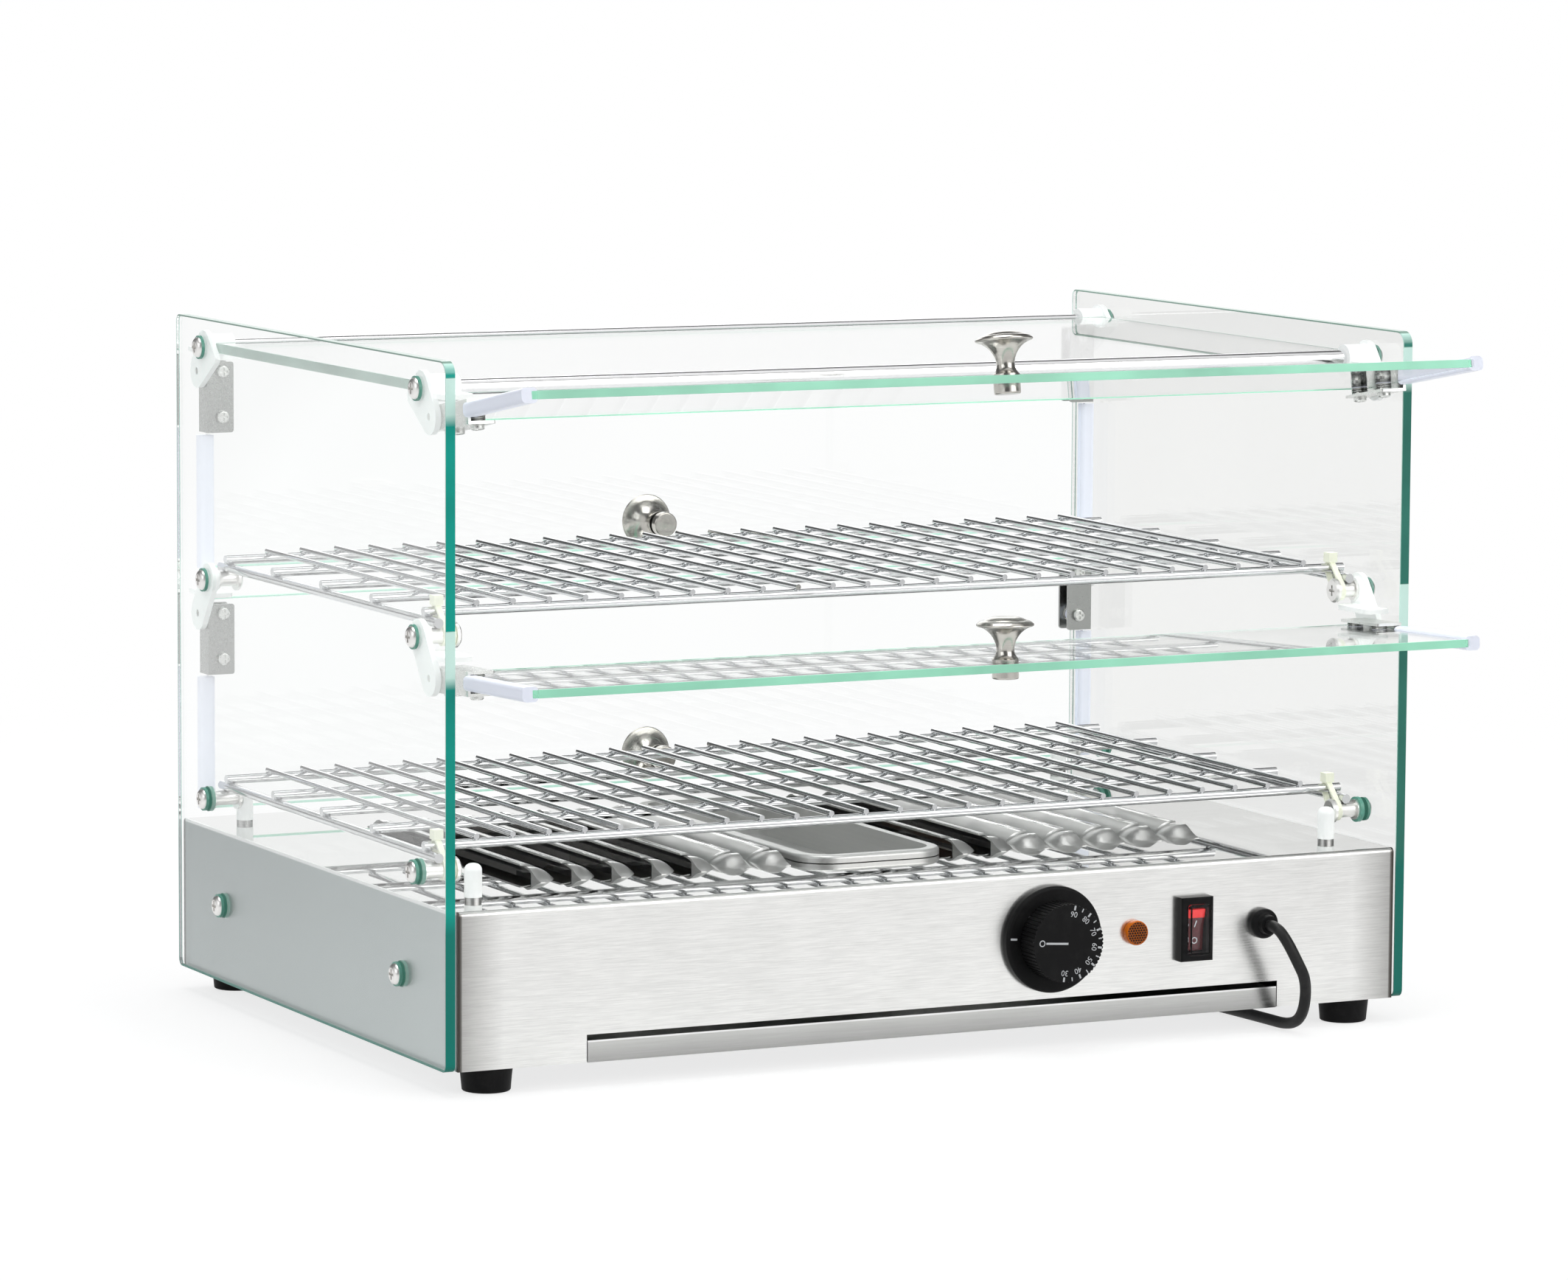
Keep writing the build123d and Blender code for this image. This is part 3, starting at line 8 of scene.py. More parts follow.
import bpy
import numpy as np
from bpy.props import FloatProperty, FloatVectorProperty, IntProperty, PointerProperty
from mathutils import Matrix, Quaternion, Vector


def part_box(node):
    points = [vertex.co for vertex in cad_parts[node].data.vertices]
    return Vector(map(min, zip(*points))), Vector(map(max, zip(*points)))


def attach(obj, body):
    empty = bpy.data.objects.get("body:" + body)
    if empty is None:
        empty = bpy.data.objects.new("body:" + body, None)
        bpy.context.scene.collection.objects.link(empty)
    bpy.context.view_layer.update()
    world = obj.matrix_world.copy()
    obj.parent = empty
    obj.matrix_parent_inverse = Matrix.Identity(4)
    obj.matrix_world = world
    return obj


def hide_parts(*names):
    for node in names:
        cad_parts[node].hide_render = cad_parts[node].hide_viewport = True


bl_info = {
    "name": "Heated display case",
    "version": (1, 0, 0),
    "blender": (4, 5, 0),
    "location": "View3D > Sidebar > Display case",
    "description": "Finishes and fine pieces of a glass heated display case",
    "category": "Object",
}

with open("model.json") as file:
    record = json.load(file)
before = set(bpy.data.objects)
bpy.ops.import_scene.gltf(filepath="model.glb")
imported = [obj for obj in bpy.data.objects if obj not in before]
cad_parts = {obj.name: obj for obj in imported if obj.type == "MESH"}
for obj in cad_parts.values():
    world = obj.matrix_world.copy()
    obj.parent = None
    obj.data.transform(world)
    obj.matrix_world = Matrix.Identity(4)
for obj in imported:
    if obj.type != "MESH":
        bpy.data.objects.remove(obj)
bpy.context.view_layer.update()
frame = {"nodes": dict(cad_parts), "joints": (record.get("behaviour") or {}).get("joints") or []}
NODES = frame["nodes"]
JOINTS = {joint["name"]: joint for joint in frame["joints"]}
MM = 0.001
DOORS = ("front_upper", "front_lower", "rear_upper", "rear_lower")
SHELVES = ("upper_shelf", "lower_shelf")
WHITE = (1.0, 1.0, 1.0)
BLACK = (0.0, 0.0, 0.0)
CORNERS = ((-1, -1), (1, -1), (1, 1), (-1, 1))
QUAD = [[0, 1, 2, 3]]


def colour(label, note, value):
    """Colour property with its default."""
    return FloatVectorProperty(name=label, description=note, default=value, size=3, subtype="COLOR",
                               min=0.0, max=1.0)


def length(label, note, millimetres):
    """Length property, its default in millimetres."""
    return FloatProperty(name=label, description=note, default=millimetres * MM, unit="LENGTH", precision=5)


def angle(label, note, degrees):
    """Angle property, its default in degrees."""
    return FloatProperty(name=label, description=note, default=math.radians(degrees), unit="ROTATION")


def share(label, note, value):
    """Plain number from 0 to 1."""
    return FloatProperty(name=label, description=note, default=value, min=0.0, max=1.0, subtype="FACTOR")


class CaseStage(bpy.types.PropertyGroup):
    """Camera, floor and lamps."""

    azimuth: angle("Azimuth", "Camera's turn round the case", -26.227)
    elevation: angle("Elevation", "Camera's height above the level", 6.703)
    roll: angle("Roll", "Camera's turn about its own axis", 0.325)
    distance: length("Distance", "Camera from its target", 3690.7)
    target: FloatVectorProperty(name="Target", description="Point in the middle of the view",
                                default=(-0.00105, 0.0, 0.197), size=3, subtype="TRANSLATION", unit="LENGTH")
    lens: FloatProperty(name="Lens", description="Focal length in millimetres", default=158.3)
    floor: colour("Floor", "Colour of the worktop", (0.32, 0.32, 0.32))
    glow: share("Floor white", "White that the worktop adds where it is seen", 0.73)
    ambient: colour("Ambient", "Light from all round", (0.46, 0.46, 0.47))
    walls: share("Walls", "Grey of the room in reflections", 0.13)


class CaseGlass(bpy.types.PropertyGroup):
    """Panes and their polished edges."""

    pane: colour("Pane", "Tint of the clear panes", (0.992, 1.0, 0.997))
    # Right pane: the clear glass tinted grey, as painted shade.
    right_pane: colour("Right pane", "Tint of the right pane", (0.885, 0.89, 0.88))
    # Foot edge: painted shade where the edge stands beside the base.
    foot_edge: colour("Foot edge", "Edge of the side panes beside the base", (0.0, 0.16, 0.125))
    # One glass edge, painted lighter or darker pane by pane: painted light and shade.
    left_edge: colour("Left edge", "Edge of the left pane", (0.0, 0.40, 0.32))
    right_edge: colour("Right edge", "Edge of the right pane", (0.035, 0.21, 0.16))
    door_edge: colour("Door edge", "Edge of the doors", (0.37, 0.82, 0.60))
    roof_edge: colour("Roof edge", "Edge of the top pane", (0.35, 0.49, 0.43))
    # Pale edge: painted reflection of the white hinge blocks.
    pale_edge: colour("Pale edge", "Edge where it stands before the white hinge blocks", (0.62, 0.86, 0.78))
    top_line: colour("Top line", "Upper edge of the side panes", (0.25, 0.38, 0.32))
    # Arris: painted highlights along both sides of an edge.
    arris: colour("Arris", "Thin lines along both sides of an edge", (0.62, 0.86, 0.78))
    front_corner: length("Front corner", "Radius of the side panes' front top corners", 7.0)
    rear_corner: length("Rear corner", "Radius of the side panes' rear top corners", 4.0)
    side_foot: length("Side foot", "Radius of the side panes' bottom corners", 4.0)
    door_corner: length("Door corner", "Radius of the doors' corners", 3.0)
    door_thickness: length("Door thickness", "Thickness of a door", 4.0)
    door_drop: length("Door drop", "Pin to the free edge of a door", 106.0)
    door_rise: length("Door rise", "Glass above the pin", 8.0)
    door_half: length("Door half", "Half the length of a door", 266.0)
    upper_open: angle("Upper door", "Front upper door as it stands", 100.0)
    lower_open: angle("Lower door", "Front lower door as it stands", 92.0)
    upper_mirror: angle("Upper mirror", "Turn of the mirror image in the front upper pane", 2.0)
    lower_mirror: angle("Lower mirror", "Turn of the mirror image in the front lower pane", 1.6)
    proud: length("Proud", "Edge band over the pane", 0.08)
    wrap: length("Wrap", "Edge band on the faces of the pane", 0.7)


class CaseMetal(bpy.types.PropertyGroup):
    """Sheet, wire and knobs."""

    sheet: colour("Sheet", "Bright stainless sheet", (0.80, 0.80, 0.79))
    brushed: colour("Brushed", "Front panel", (0.90, 0.90, 0.885))
    # Louvres: the same sheet tinted darker, as painted shade.
    satin: colour("Satin", "Louvres", (0.54, 0.54, 0.53))
    # End sheet: painted lighter towards the front and low down.
    end: colour("End sheet", "Satin sheet at the ends", (0.30, 0.355, 0.36))
    end_light: colour("End light", "Same, at the front and low down", (0.56, 0.62, 0.62))
    zinc: colour("Zinc", "Coated floor sheet and its screws", (0.46, 0.47, 0.48))
    chrome: colour("Chrome", "Top rails", (0.86, 0.86, 0.87))
    # Wire: the shelves' chrome tinted darker than the rails', as painted shade.
    wire: colour("Wire", "Wires and rods of the shelves", (0.66, 0.67, 0.68))
    clamp: colour("Clamp", "Clamps of the front doors, and all clamp screws", (0.80, 0.81, 0.79))
    # Rear clamp: the clamp steel tinted darker, as painted shade.
    rear_clamp: colour("Rear clamp", "Clamps of the rear doors", (0.40, 0.41, 0.40))
    nickel: colour("Nickel", "Door knobs", (0.60, 0.58, 0.54))
    # Painted shade at both ends of the front panel and in the seams of the end sheets.
    painted_shade: colour("Stain", "Dark ends of the front panel, and seams", (0.045, 0.037, 0.03))
    thread_pitch: length("Thread pitch", "Between two ridges on the clamp screws' collars", 1.15)
    weld_width: length("Weld width", "Half width of a weld spot", 2.1)
    weld_height: length("Weld height", "Half height of a weld spot", 1.0)


class CaseControls(bpy.types.PropertyGroup):
    """Dial, lamp and switch."""

    mark: colour("Marks", "Printed marks", (0.66, 0.68, 0.70))
    first_angle: angle("First mark", "Where 30 stands on the dial, from the right", -97.4)
    last_angle: angle("Last mark", "Where 90 stands", 78.4)
    off_angle: angle("Off mark", "Where the off ring stands", 176.0)
    numeral: length("Numeral size", "Type size of the numerals", 4.2)
    face_radius: length("Dial radius", "Radius of the dial's face", 20.5)
    cell: length("Lens cell", "Width of one cell of the lamp's lens", 1.5)
    plastic: colour("Plastic", "Moulded black parts", (0.006, 0.006, 0.0065))
    amber: colour("Amber", "Lamp lens", (0.56, 0.125, 0.0))
    # Brown: painted shade in the bottoms of the lens's cells.
    brown: colour("Brown", "Bottoms of the lens's cells", (0.025, 0.005, 0.001))
    # Red and wine: the rocker's top painted lit, with a glow, and the rest painted in shade.
    red: colour("Red", "Rocker's lit top", (0.72, 0.02, 0.02))
    wine: colour("Wine", "Rest of the rocker", (0.075, 0.004, 0.006))


class CaseCord(bpy.types.PropertyGroup):
    """Power cord."""

    diameter: length("Diameter", "Cord over its jacket", 6.0)
    total: length("Length", "From the bushing to the plug", 1780.0)
    turns: IntProperty(name="Turns", description="Turns of the put-away coil", default=6)
    coil_radius: length("Coil radius", "Outer turn of the coil", 42.9)
    pitch: length("Pitch", "Between neighbouring turns", 6.6)
    jacket: colour("Jacket", "Cord jacket", (0.006, 0.006, 0.0065))


GROUPS = {
    "case_stage": CaseStage,
    "case_glass": CaseGlass,
    "case_metal": CaseMetal,
    "case_controls": CaseControls,
    "case_cord": CaseCord,
}


def settings(name):
    """Property group of the scene."""
    return getattr(bpy.context.scene, name)


def times(tint, level):
    """Colour, made brighter or darker."""
    return tuple(level * value for value in tint)


class Nodes:
    """Node tree with short ways to add to it. Most give the output of what they add."""

    def __init__(self, owner):
        """Empties the tree of a material or a world, or takes a group as it is."""
        self.tree = owner
        if not isinstance(owner, bpy.types.NodeTree):
            owner.use_nodes = True
            self.tree = owner.node_tree
            self.tree.nodes.clear()

    def fill(self, socket, value):
        """Links a socket to another, or sets it. Colours are given as three numbers and cover fully."""
        if isinstance(value, bpy.types.NodeSocket):
            self.tree.links.new(value, socket)
        else:
            socket.default_value = (*value, 1.0) if socket.type == "RGBA" else value

    def put(self, kind, sockets=None, **choices):
        """Adds a shader node, sets its choices and fills its sockets."""
        node = self.tree.nodes.new(f"ShaderNode{kind}")
        for key, value in choices.items():
            setattr(node, key, value)
        for key, value in (sockets or {}).items():
            self.fill(node.inputs[key], value)
        return node

    def math(self, operation, first, second=0.0, clamp=False):
        """Two numbers reckoned together."""
        return self.put("Math", {0: first, 1: second}, operation=operation, use_clamp=clamp).outputs[0]

    def measure(self, operation, *vectors):
        """One number from vectors."""
        return self.put("VectorMath", dict(enumerate(vectors)), operation=operation).outputs["Value"]

    def ramp(self, value, low, high, new_low=0.0, new_high=1.0):
        """Straight ramp from one range to another, held at both ends."""
        sockets = {"Value": value, "From Min": low, "From Max": high, "To Min": new_low, "To Max": new_high}
        return self.put("MapRange", sockets).outputs["Result"]

    def mix(self, factor, first, second):
        """Mix of two colours."""
        return self.put("Mix", {0: factor, 6: first, 7: second}, data_type="RGBA").outputs[2]

    def noise(self, vector, scale, detail, roughness=0.5):
        """Noise about one half."""
        sockets = {"Vector": vector, "Scale": scale, "Detail": detail, "Roughness": roughness}
        return self.put("TexNoise", sockets).outputs["Fac"]

    def parts(self, vector):
        """X, Y and Z of a vector, by name."""
        return self.put("SeparateXYZ", {0: vector}).outputs

    def own_map(self):
        """X and Y of a piece's own map, by name."""
        return self.parts(self.put("UVMap", uv_map="along").outputs[0])

    def place(self, location=None, rotation=None):
        """Object coordinates, moved and turned on demand so that a pattern is centred on a piece."""
        coords = self.put("TexCoord").outputs["Object"]
        if location is None:
            return coords
        sockets = {"Vector": coords, "Location": location, "Rotation": rotation}
        return self.put("Mapping", sockets, vector_type="TEXTURE").outputs[0]


class Finish(Nodes):
    """Material with one Principled shader; underscores in socket names stand for spaces."""

    def __init__(self, name, **sockets):
        self.material = bpy.data.materials.new(name)
        super().__init__(self.material)
        named = {key.replace("_", " "): value for key, value in sockets.items()}
        self.shader = self.put("BsdfPrincipled", named)
        self.put("OutputMaterial", {"Surface": self.shader.outputs[0]})

    def feed(self, value, *names):
        """Links an output to sockets of the shader."""
        for name in names:
            self.fill(self.shader.inputs[name], value)

    def dress(self, group, bump, vector=None, depth=0.0002, **sockets):
        """Places a group: its colour, roughness and height feed the shader."""
        effect = self.put("Group", {"Vector": vector or self.place(), **sockets}, node_tree=group).outputs
        relief = self.put("Bump", {"Strength": bump, "Distance": depth, "Height": effect["Height"]})
        self.feed(effect["Color"], "Base Color")
        self.feed(effect["Roughness"], "Roughness")
        self.feed(relief.outputs[0], "Normal")
        return self

    def lamps_through(self, tint):
        """Lets lamps shine through: their rays meet a transparent shader of this tint, not the skin."""
        surface = self.shader.outputs[0].links[0].to_socket
        through = self.put("BsdfTransparent", {"Color": tint})
        lamp_ray = self.put("LightPath").outputs["Is Shadow Ray"]
        both = self.put("MixShader", {0: lamp_ray, 1: self.shader.outputs[0], 2: through.outputs[0]})
        self.fill(surface, both.outputs[0])
        return self

    def paint(self, *names):
        """Gives CAD nodes this finish."""
        for name in names:
            NODES[name].material_slots[0].material = self.material


def metal(name, share=1.0):
    """Metal finish, yet to be dressed."""
    return Finish(name, Metallic=share)


def shared_group(name, **inputs):
    """Turns a function that lays nodes into one that gives their shader group, built once.

    Vector and the named inputs go in: one number makes a Float, three a Vector and four a Color. Color,
    Roughness and Height come out.
    """
    def decorate(lay):
        def group():
            if name in bpy.data.node_groups:
                return bpy.data.node_groups[name]
            tree = bpy.data.node_groups.new(name, "ShaderNodeTree")
            tree.interface.new_socket("Vector", in_out="INPUT", socket_type="NodeSocketVector")
            for label, value in inputs.items():
                kind = "Float" if isinstance(value, float) else {3: "Vector", 4: "Color"}[len(value)]
                socket = tree.interface.new_socket(label, in_out="INPUT", socket_type=f"NodeSocket{kind}")
                socket.default_value = value
            for label, kind in (("Color", "Color"), ("Roughness", "Float"), ("Height", "Float")):
                tree.interface.new_socket(label, in_out="OUTPUT", socket_type=f"NodeSocket{kind}")
            given, made = tree.nodes.new("NodeGroupInput"), tree.nodes.new("NodeGroupOutput")
            lay(Nodes(tree), given.outputs, made.inputs)
            return tree
        group.__doc__ = lay.__doc__
        return group
    return decorate


def roughen(tree, given, made, uneven):
    """Roughness moves with an unevenness about zero."""
    spread = tree.math("MULTIPLY", uneven, given["Spread"])
    tree.fill(made["Roughness"], tree.math("ADD", given["Roughness"], spread, True))


def streak(tree, given, made, fine, broad, clouds):
    """Colour is the tint times 1 plus contrast times fine plus clouds times broad, both taken about zero."""
    line, cloud = (tree.math("SUBTRACT", level, 0.5) for level in (fine, broad))
    lines = tree.math("MULTIPLY", line, given["Contrast"])
    level = tree.math("ADD", tree.math("ADD", lines, tree.math("MULTIPLY", cloud, clouds)), 1.0)
    tinted = tree.put("VectorMath", {0: given["Tint"], "Scale": level}, operation="SCALE")
    tree.fill(made["Color"], tinted.outputs[0])
    roughen(tree, given, made, tree.math("ADD", line, cloud))


@shared_group("brushed_sheet", Tint=(0.8, 0.8, 0.8, 1.0), Stretch=(6.0, 900.0, 900.0), Contrast=0.12,
              Clouds=0.08, Roughness=0.3, Spread=0.12, Relief=1.0)
def brush_group(tree, given, made):
    """Brushed sheet: noise drawn out along the brushing for the lines, broad clouds for wiping marks."""
    drawn = tree.put("VectorMath", {0: given["Vector"], 1: given["Stretch"]}, operation="MULTIPLY")
    fine = tree.noise(drawn.outputs[0], 1.0, 3.0, 0.65)
    streak(tree, given, made, fine, tree.noise(given["Vector"], 14.0, 4.0, 0.6), given["Clouds"])
    tree.fill(made["Height"], tree.math("MULTIPLY", fine, given["Relief"]))


@shared_group("moulded_skin", Tint=(0.02, 0.02, 0.02, 1.0), Grain=2500.0, Dust=0.03, Roughness=0.45,
              Spread=0.15)
def grain_group(tree, given, made):
    """Moulded or cast skin: fine noise for the grain, broad noise for wear and for pale dust."""
    fine = tree.noise(given["Vector"], given["Grain"], 2.0)
    broad = tree.noise(given["Vector"], 90.0, 5.0, 0.7)
    dusty = tree.math("MULTIPLY", tree.ramp(broad, 0.45, 0.8), given["Dust"])
    dust_grey = (0.6, 0.59, 0.57)
    tree.fill(made["Color"], tree.mix(dusty, given["Tint"], dust_grey))
    roughen(tree, given, made, tree.math("SUBTRACT", tree.math("ADD", fine, broad), 1.0))
    tree.fill(made["Height"], fine)


@shared_group("turned_metal", Tint=(0.6, 0.6, 0.6, 1.0), Lines=2200.0, Contrast=0.2, Roughness=0.2,
              Spread=0.12)
def turned_group(tree, given, made):
    """Turned metal: lines round the given vector's Z axis, from noise along the radius and the height."""
    parts = tree.parts(given["Vector"])
    flat = tree.put("CombineXYZ", {"X": parts["X"], "Y": parts["Y"]})
    radius = tree.measure("LENGTH", flat.outputs[0])
    section = tree.put("CombineXYZ", {"X": radius, "Y": parts["Z"]})
    fine = tree.noise(section.outputs[0], given["Lines"], 2.0)
    streak(tree, given, made, fine, tree.noise(given["Vector"], 160.0, 3.0), given["Contrast"])
    tree.fill(made["Height"], fine)


def add_object(name, data):
    """New object in the scene."""
    made = bpy.data.objects.new(name, data)
    bpy.context.scene.collection.objects.link(made)
    return made


def new_piece(name, points, faces, finish, body, smooth=True, uv=None):
    """Piece from points and faces in metres, in place, riding on a body. uv holds one pair for each point."""
    mesh = bpy.data.meshes.new(name)
    mesh.from_pydata(np.asarray(points).tolist(), [], [list(face) for face in faces])
    if uv is not None:
        corners = np.zeros(len(mesh.loops), np.int32)
        mesh.loops.foreach_get("vertex_index", corners)
        layer = mesh.uv_layers.new(name="along")
        layer.data.foreach_set("uv", np.asarray(uv, np.float32)[corners].ravel())
    mesh.polygons.foreach_set("use_smooth", np.full(len(mesh.polygons), smooth))
    mesh.update()
    piece = add_object(name, mesh)
    mesh.materials.append(finish.material)
    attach(piece, body)
    return piece


def grid_faces(rows, columns, close_rows=False, close_columns=False):
    """Quads of a grid of points, rows by columns, optionally joined end to end."""
    i = np.arange(rows if close_rows else rows - 1)
    j = np.arange(columns if close_columns else columns - 1)
    a, b = np.meshgrid(i, j, indexing="ij")
    a, b = a.ravel(), b.ravel()
    c, d = (a + 1) % rows, (b + 1) % columns
    return np.stack([a * columns + b, c * columns + b, c * columns + d, a * columns + d], axis=1)


def rings(radius, height, count):
    """Circles of count points about the Z axis, one for each radius and height."""
    turn = np.arange(count) * 2 * np.pi / count
    circles = radius[:, None] * np.cos(turn), radius[:, None] * np.sin(turn), height[:, None]
    return np.stack(np.broadcast_arrays(*circles), axis=-1).reshape(-1, 3)


def rounded_outline(low, high, radii, steps=9):
    """Closed outline of a rectangle with rounded corners, and its outward directions.

    Corner k is a quarter circle from angle 180 + 90 k degrees; radii go anticlockwise from the lower left.
    """
    radii = np.asarray(radii)[:, None]
    corners_x = np.array([low[0], high[0], high[0], low[0]])[:, None]
    corners_y = np.array([low[1], low[1], high[1], high[1]])[:, None]
    centres_x = corners_x + radii * np.array([1, -1, -1, 1])[:, None]
    centres_y = corners_y + radii * np.array([1, 1, -1, -1])[:, None]
    turn = np.pi + np.pi / 2 * (np.arange(4)[:, None] + np.linspace(0.0, 1.0, steps)[None, :])
    out = np.stack([np.cos(turn), np.sin(turn)], axis=-1).reshape(-1, 2)
    points = np.stack([centres_x + radii * np.cos(turn), centres_y + radii * np.sin(turn)], axis=-1)
    return points.reshape(-1, 2), out


def edge_band(points, out, thickness, proud, wrap):
    """Thin cap over the edge of a pane: a U section carried round the outline.

    Returns points (outline by section, third axis through the pane) and the share of the section passed
    at each.
    """
    half = thickness / 2 + proud
    section = np.array([(-wrap, -half), (-0.2 * proud, -half), (proud, -half + 1.2 * proud), (proud, 0.0),
                        (proud, half - 1.2 * proud), (-0.2 * proud, half), (-wrap, half)])
    flat = points[:, None, :] + out[:, None, :] * section[None, :, :1]
    through = np.broadcast_to(section[None, :, 1:], (*flat.shape[:2], 1))
    run = np.concatenate([[0.0], np.cumsum(np.linalg.norm(np.diff(section, axis=0), axis=1))])
    return np.concatenate([flat, through], axis=-1), run / run[-1]


def door_frame(name, glass):
    """Origin and axes of a door's own frame: X along the pin, Y up to the pin, Z out of the case."""
    joint = JOINTS[f"{name}_hinge"]
    side = -1.0 if name.startswith("front") else 1.0
    opened = {"front_upper": glass.upper_open, "front_lower": glass.lower_open}.get(name, 0.0)
    x = np.array([-side, 0.0, 0.0])
    z = np.array([0.0, side * math.cos(opened), math.sin(opened)])
    return np.array(joint["pos_m"], float), x, np.cross(z, x), z


class CASE_OT_stage(bpy.types.Operator):
    """Sets up the camera, the pale worktop and the soft lamps"""

    bl_idname = "display_case.stage"
    bl_label = "Stage"

    # Name, place, size, watts and tint of each lamp. All look at one point in the case.
    lamps = (
        ("key_lamp", (1.4, -2.7, 1.9), (2.4, 2.0), 38.0, (1.0, 0.99, 0.97)),
        ("fill_lamp", (-2.5, -1.2, 1.5), (1.8, 1.6), 12.0, (0.97, 0.99, 1.0)),
        ("top_lamp", (-0.2, 0.2, 2.6), (1.8, 1.4), 22.0, WHITE),
        ("back_lamp", (0.8, 2.6, 1.3), (2.0, 1.2), 10.0, WHITE))
    lamp_target = (0.0, 0.0, 0.18)

    # Middle of each lit area of the room, cosines where its light is full and where it ends, and its level.
    lit_areas = (
        ((0.44, 0.88, 0.12), 0.985, 0.93, 1.0),
        ((0.40, -0.91, 0.0), 0.93, 0.72, 1.0),
        ((0.1, -0.1, 0.99), 0.92, 0.78, 1.0),
        ((-0.95, 0.1, 0.25), 0.93, 0.75, 0.75))

    # Patch of worktop that mirrors see white: the way across it, where it starts and ends along that way,
    # and where it starts behind the case.
    patch_way, patch_start, patch_end = (1.0, 0.494, 0.0), (-0.46, -0.2), (0.0, 0.1)
    patch_behind = (0.75, 1.1)

    def execute(self, context):
        choice = settings("case_stage")
        scene = context.scene
        scene.view_settings.view_transform = "Standard"
        level, rise = math.cos(choice.elevation), math.sin(choice.elevation)
        back = Vector((math.sin(choice.azimuth) * level, -math.cos(choice.azimuth) * level, rise))
        lens = bpy.data.cameras.new("camera")
        lens.lens = choice.lens
        lens.sensor_width = 36.0
        lens.sensor_fit = "HORIZONTAL"
        lens.clip_end = 100.0
        camera = add_object("camera", lens)
        camera.location = Vector(choice.target) + back * choice.distance
        camera.rotation_mode = "QUATERNION"
        camera.rotation_quaternion = (-back).to_track_quat("-Z", "Y") @ Quaternion((0, 0, 1), choice.roll)
        scene.camera = camera
        self.backdrop(scene, choice)
        self.worktop(choice)
        for name, place, size, watts, tint in self.lamps:
            light = bpy.data.lights.new(name, "AREA")
            light.shape = "RECTANGLE"
            light.size, light.size_y = size
            light.energy = watts
            light.color = tint
            lamp = add_object(name, light)
            lamp.location = place
            aim = Vector(self.lamp_target) - lamp.location
            lamp.rotation_euler = aim.to_track_quat("-Z", "Y").to_euler()
        return {"FINISHED"}

    def backdrop(self, scene, choice):
        """White where it is looked at or seen through glass; reflections see grey walls and lit areas.

        Each lit area is a straight step of the cosine between the way looked and the middle of the area.
        """
        world = bpy.data.worlds.new("backdrop")
        tree = Nodes(world)
        path = tree.put("LightPath").outputs
        seen = tree.math("MAXIMUM", path["Is Camera Ray"], path["Is Transmission Ray"])
        bounced = tree.math("GREATER_THAN", path["Glossy Depth"], 0.5)
        way = tree.put("TexCoord").outputs["Generated"]
        studio = choice.walls
        for middle, inner, outer, level in self.lit_areas:
            near = tree.measure("DOT_PRODUCT", way, middle)
            studio = tree.math("MAXIMUM", studio, tree.ramp(near, outer, inner, 0.0, level))
        mirrored = tree.put("CombineColor", {0: studio, 1: studio, 2: studio}).outputs[0]
        shown = tree.mix(seen, choice.ambient, WHITE)
        final = tree.mix(bounced, shown, mirrored)
        light = tree.put("Background", {"Color": final, "Strength": 1.0})
        tree.put("OutputWorld", {"Surface": light.outputs[0]})
        scene.world = world

    def worktop(self, choice):
        """Flat sheet under the feet; it adds white where it is looked at, and keeps the shadow.

        In reflections its white is dimmer, apart from a patch far behind the case on the left.
        """
        mat = bpy.data.materials.new("worktop")
        tree = Nodes(mat)
        path = tree.put("LightPath").outputs
        coords = tree.place()
        across = tree.measure("DOT_PRODUCT", coords, self.patch_way)
        behind = tree.parts(coords)["Y"]
        dim, full = 0.8, 1.0
        patch = tree.ramp(across, *self.patch_start, dim, full)
        patch = tree.math("MINIMUM", patch, tree.ramp(across, *self.patch_end, full, dim))
        patch = tree.math("MINIMUM", patch, tree.ramp(behind, *self.patch_behind, dim, full))
        seen = tree.math("MAXIMUM", path["Is Camera Ray"], path["Is Transmission Ray"])
        seen = tree.math("MAXIMUM", seen, tree.math("MULTIPLY", path["Is Glossy Ray"], patch))
        far = tree.ramp(tree.measure("LENGTH", coords), 0.5, 1.3)
        matt = tree.put("BsdfDiffuse", {"Color": tree.mix(far, choice.floor, BLACK)})
        glow = tree.ramp(far, 0.0, 1.0, choice.glow, 1.0)
        white = tree.put("Emission", {"Strength": tree.math("MULTIPLY", seen, glow)})
        both = tree.put("AddShader", {0: matt.outputs[0], 1: white.outputs[0]})
        tree.put("OutputMaterial", {"Surface": both.outputs[0]})
        reach, drop = 12.0, -0.0004
        mesh = bpy.data.meshes.new("worktop")
        mesh.from_pydata([(reach * x, reach * y, drop) for x, y in CORNERS], [], QUAD)
        mesh.materials.append(mat)
        floor = add_object("worktop", mesh)


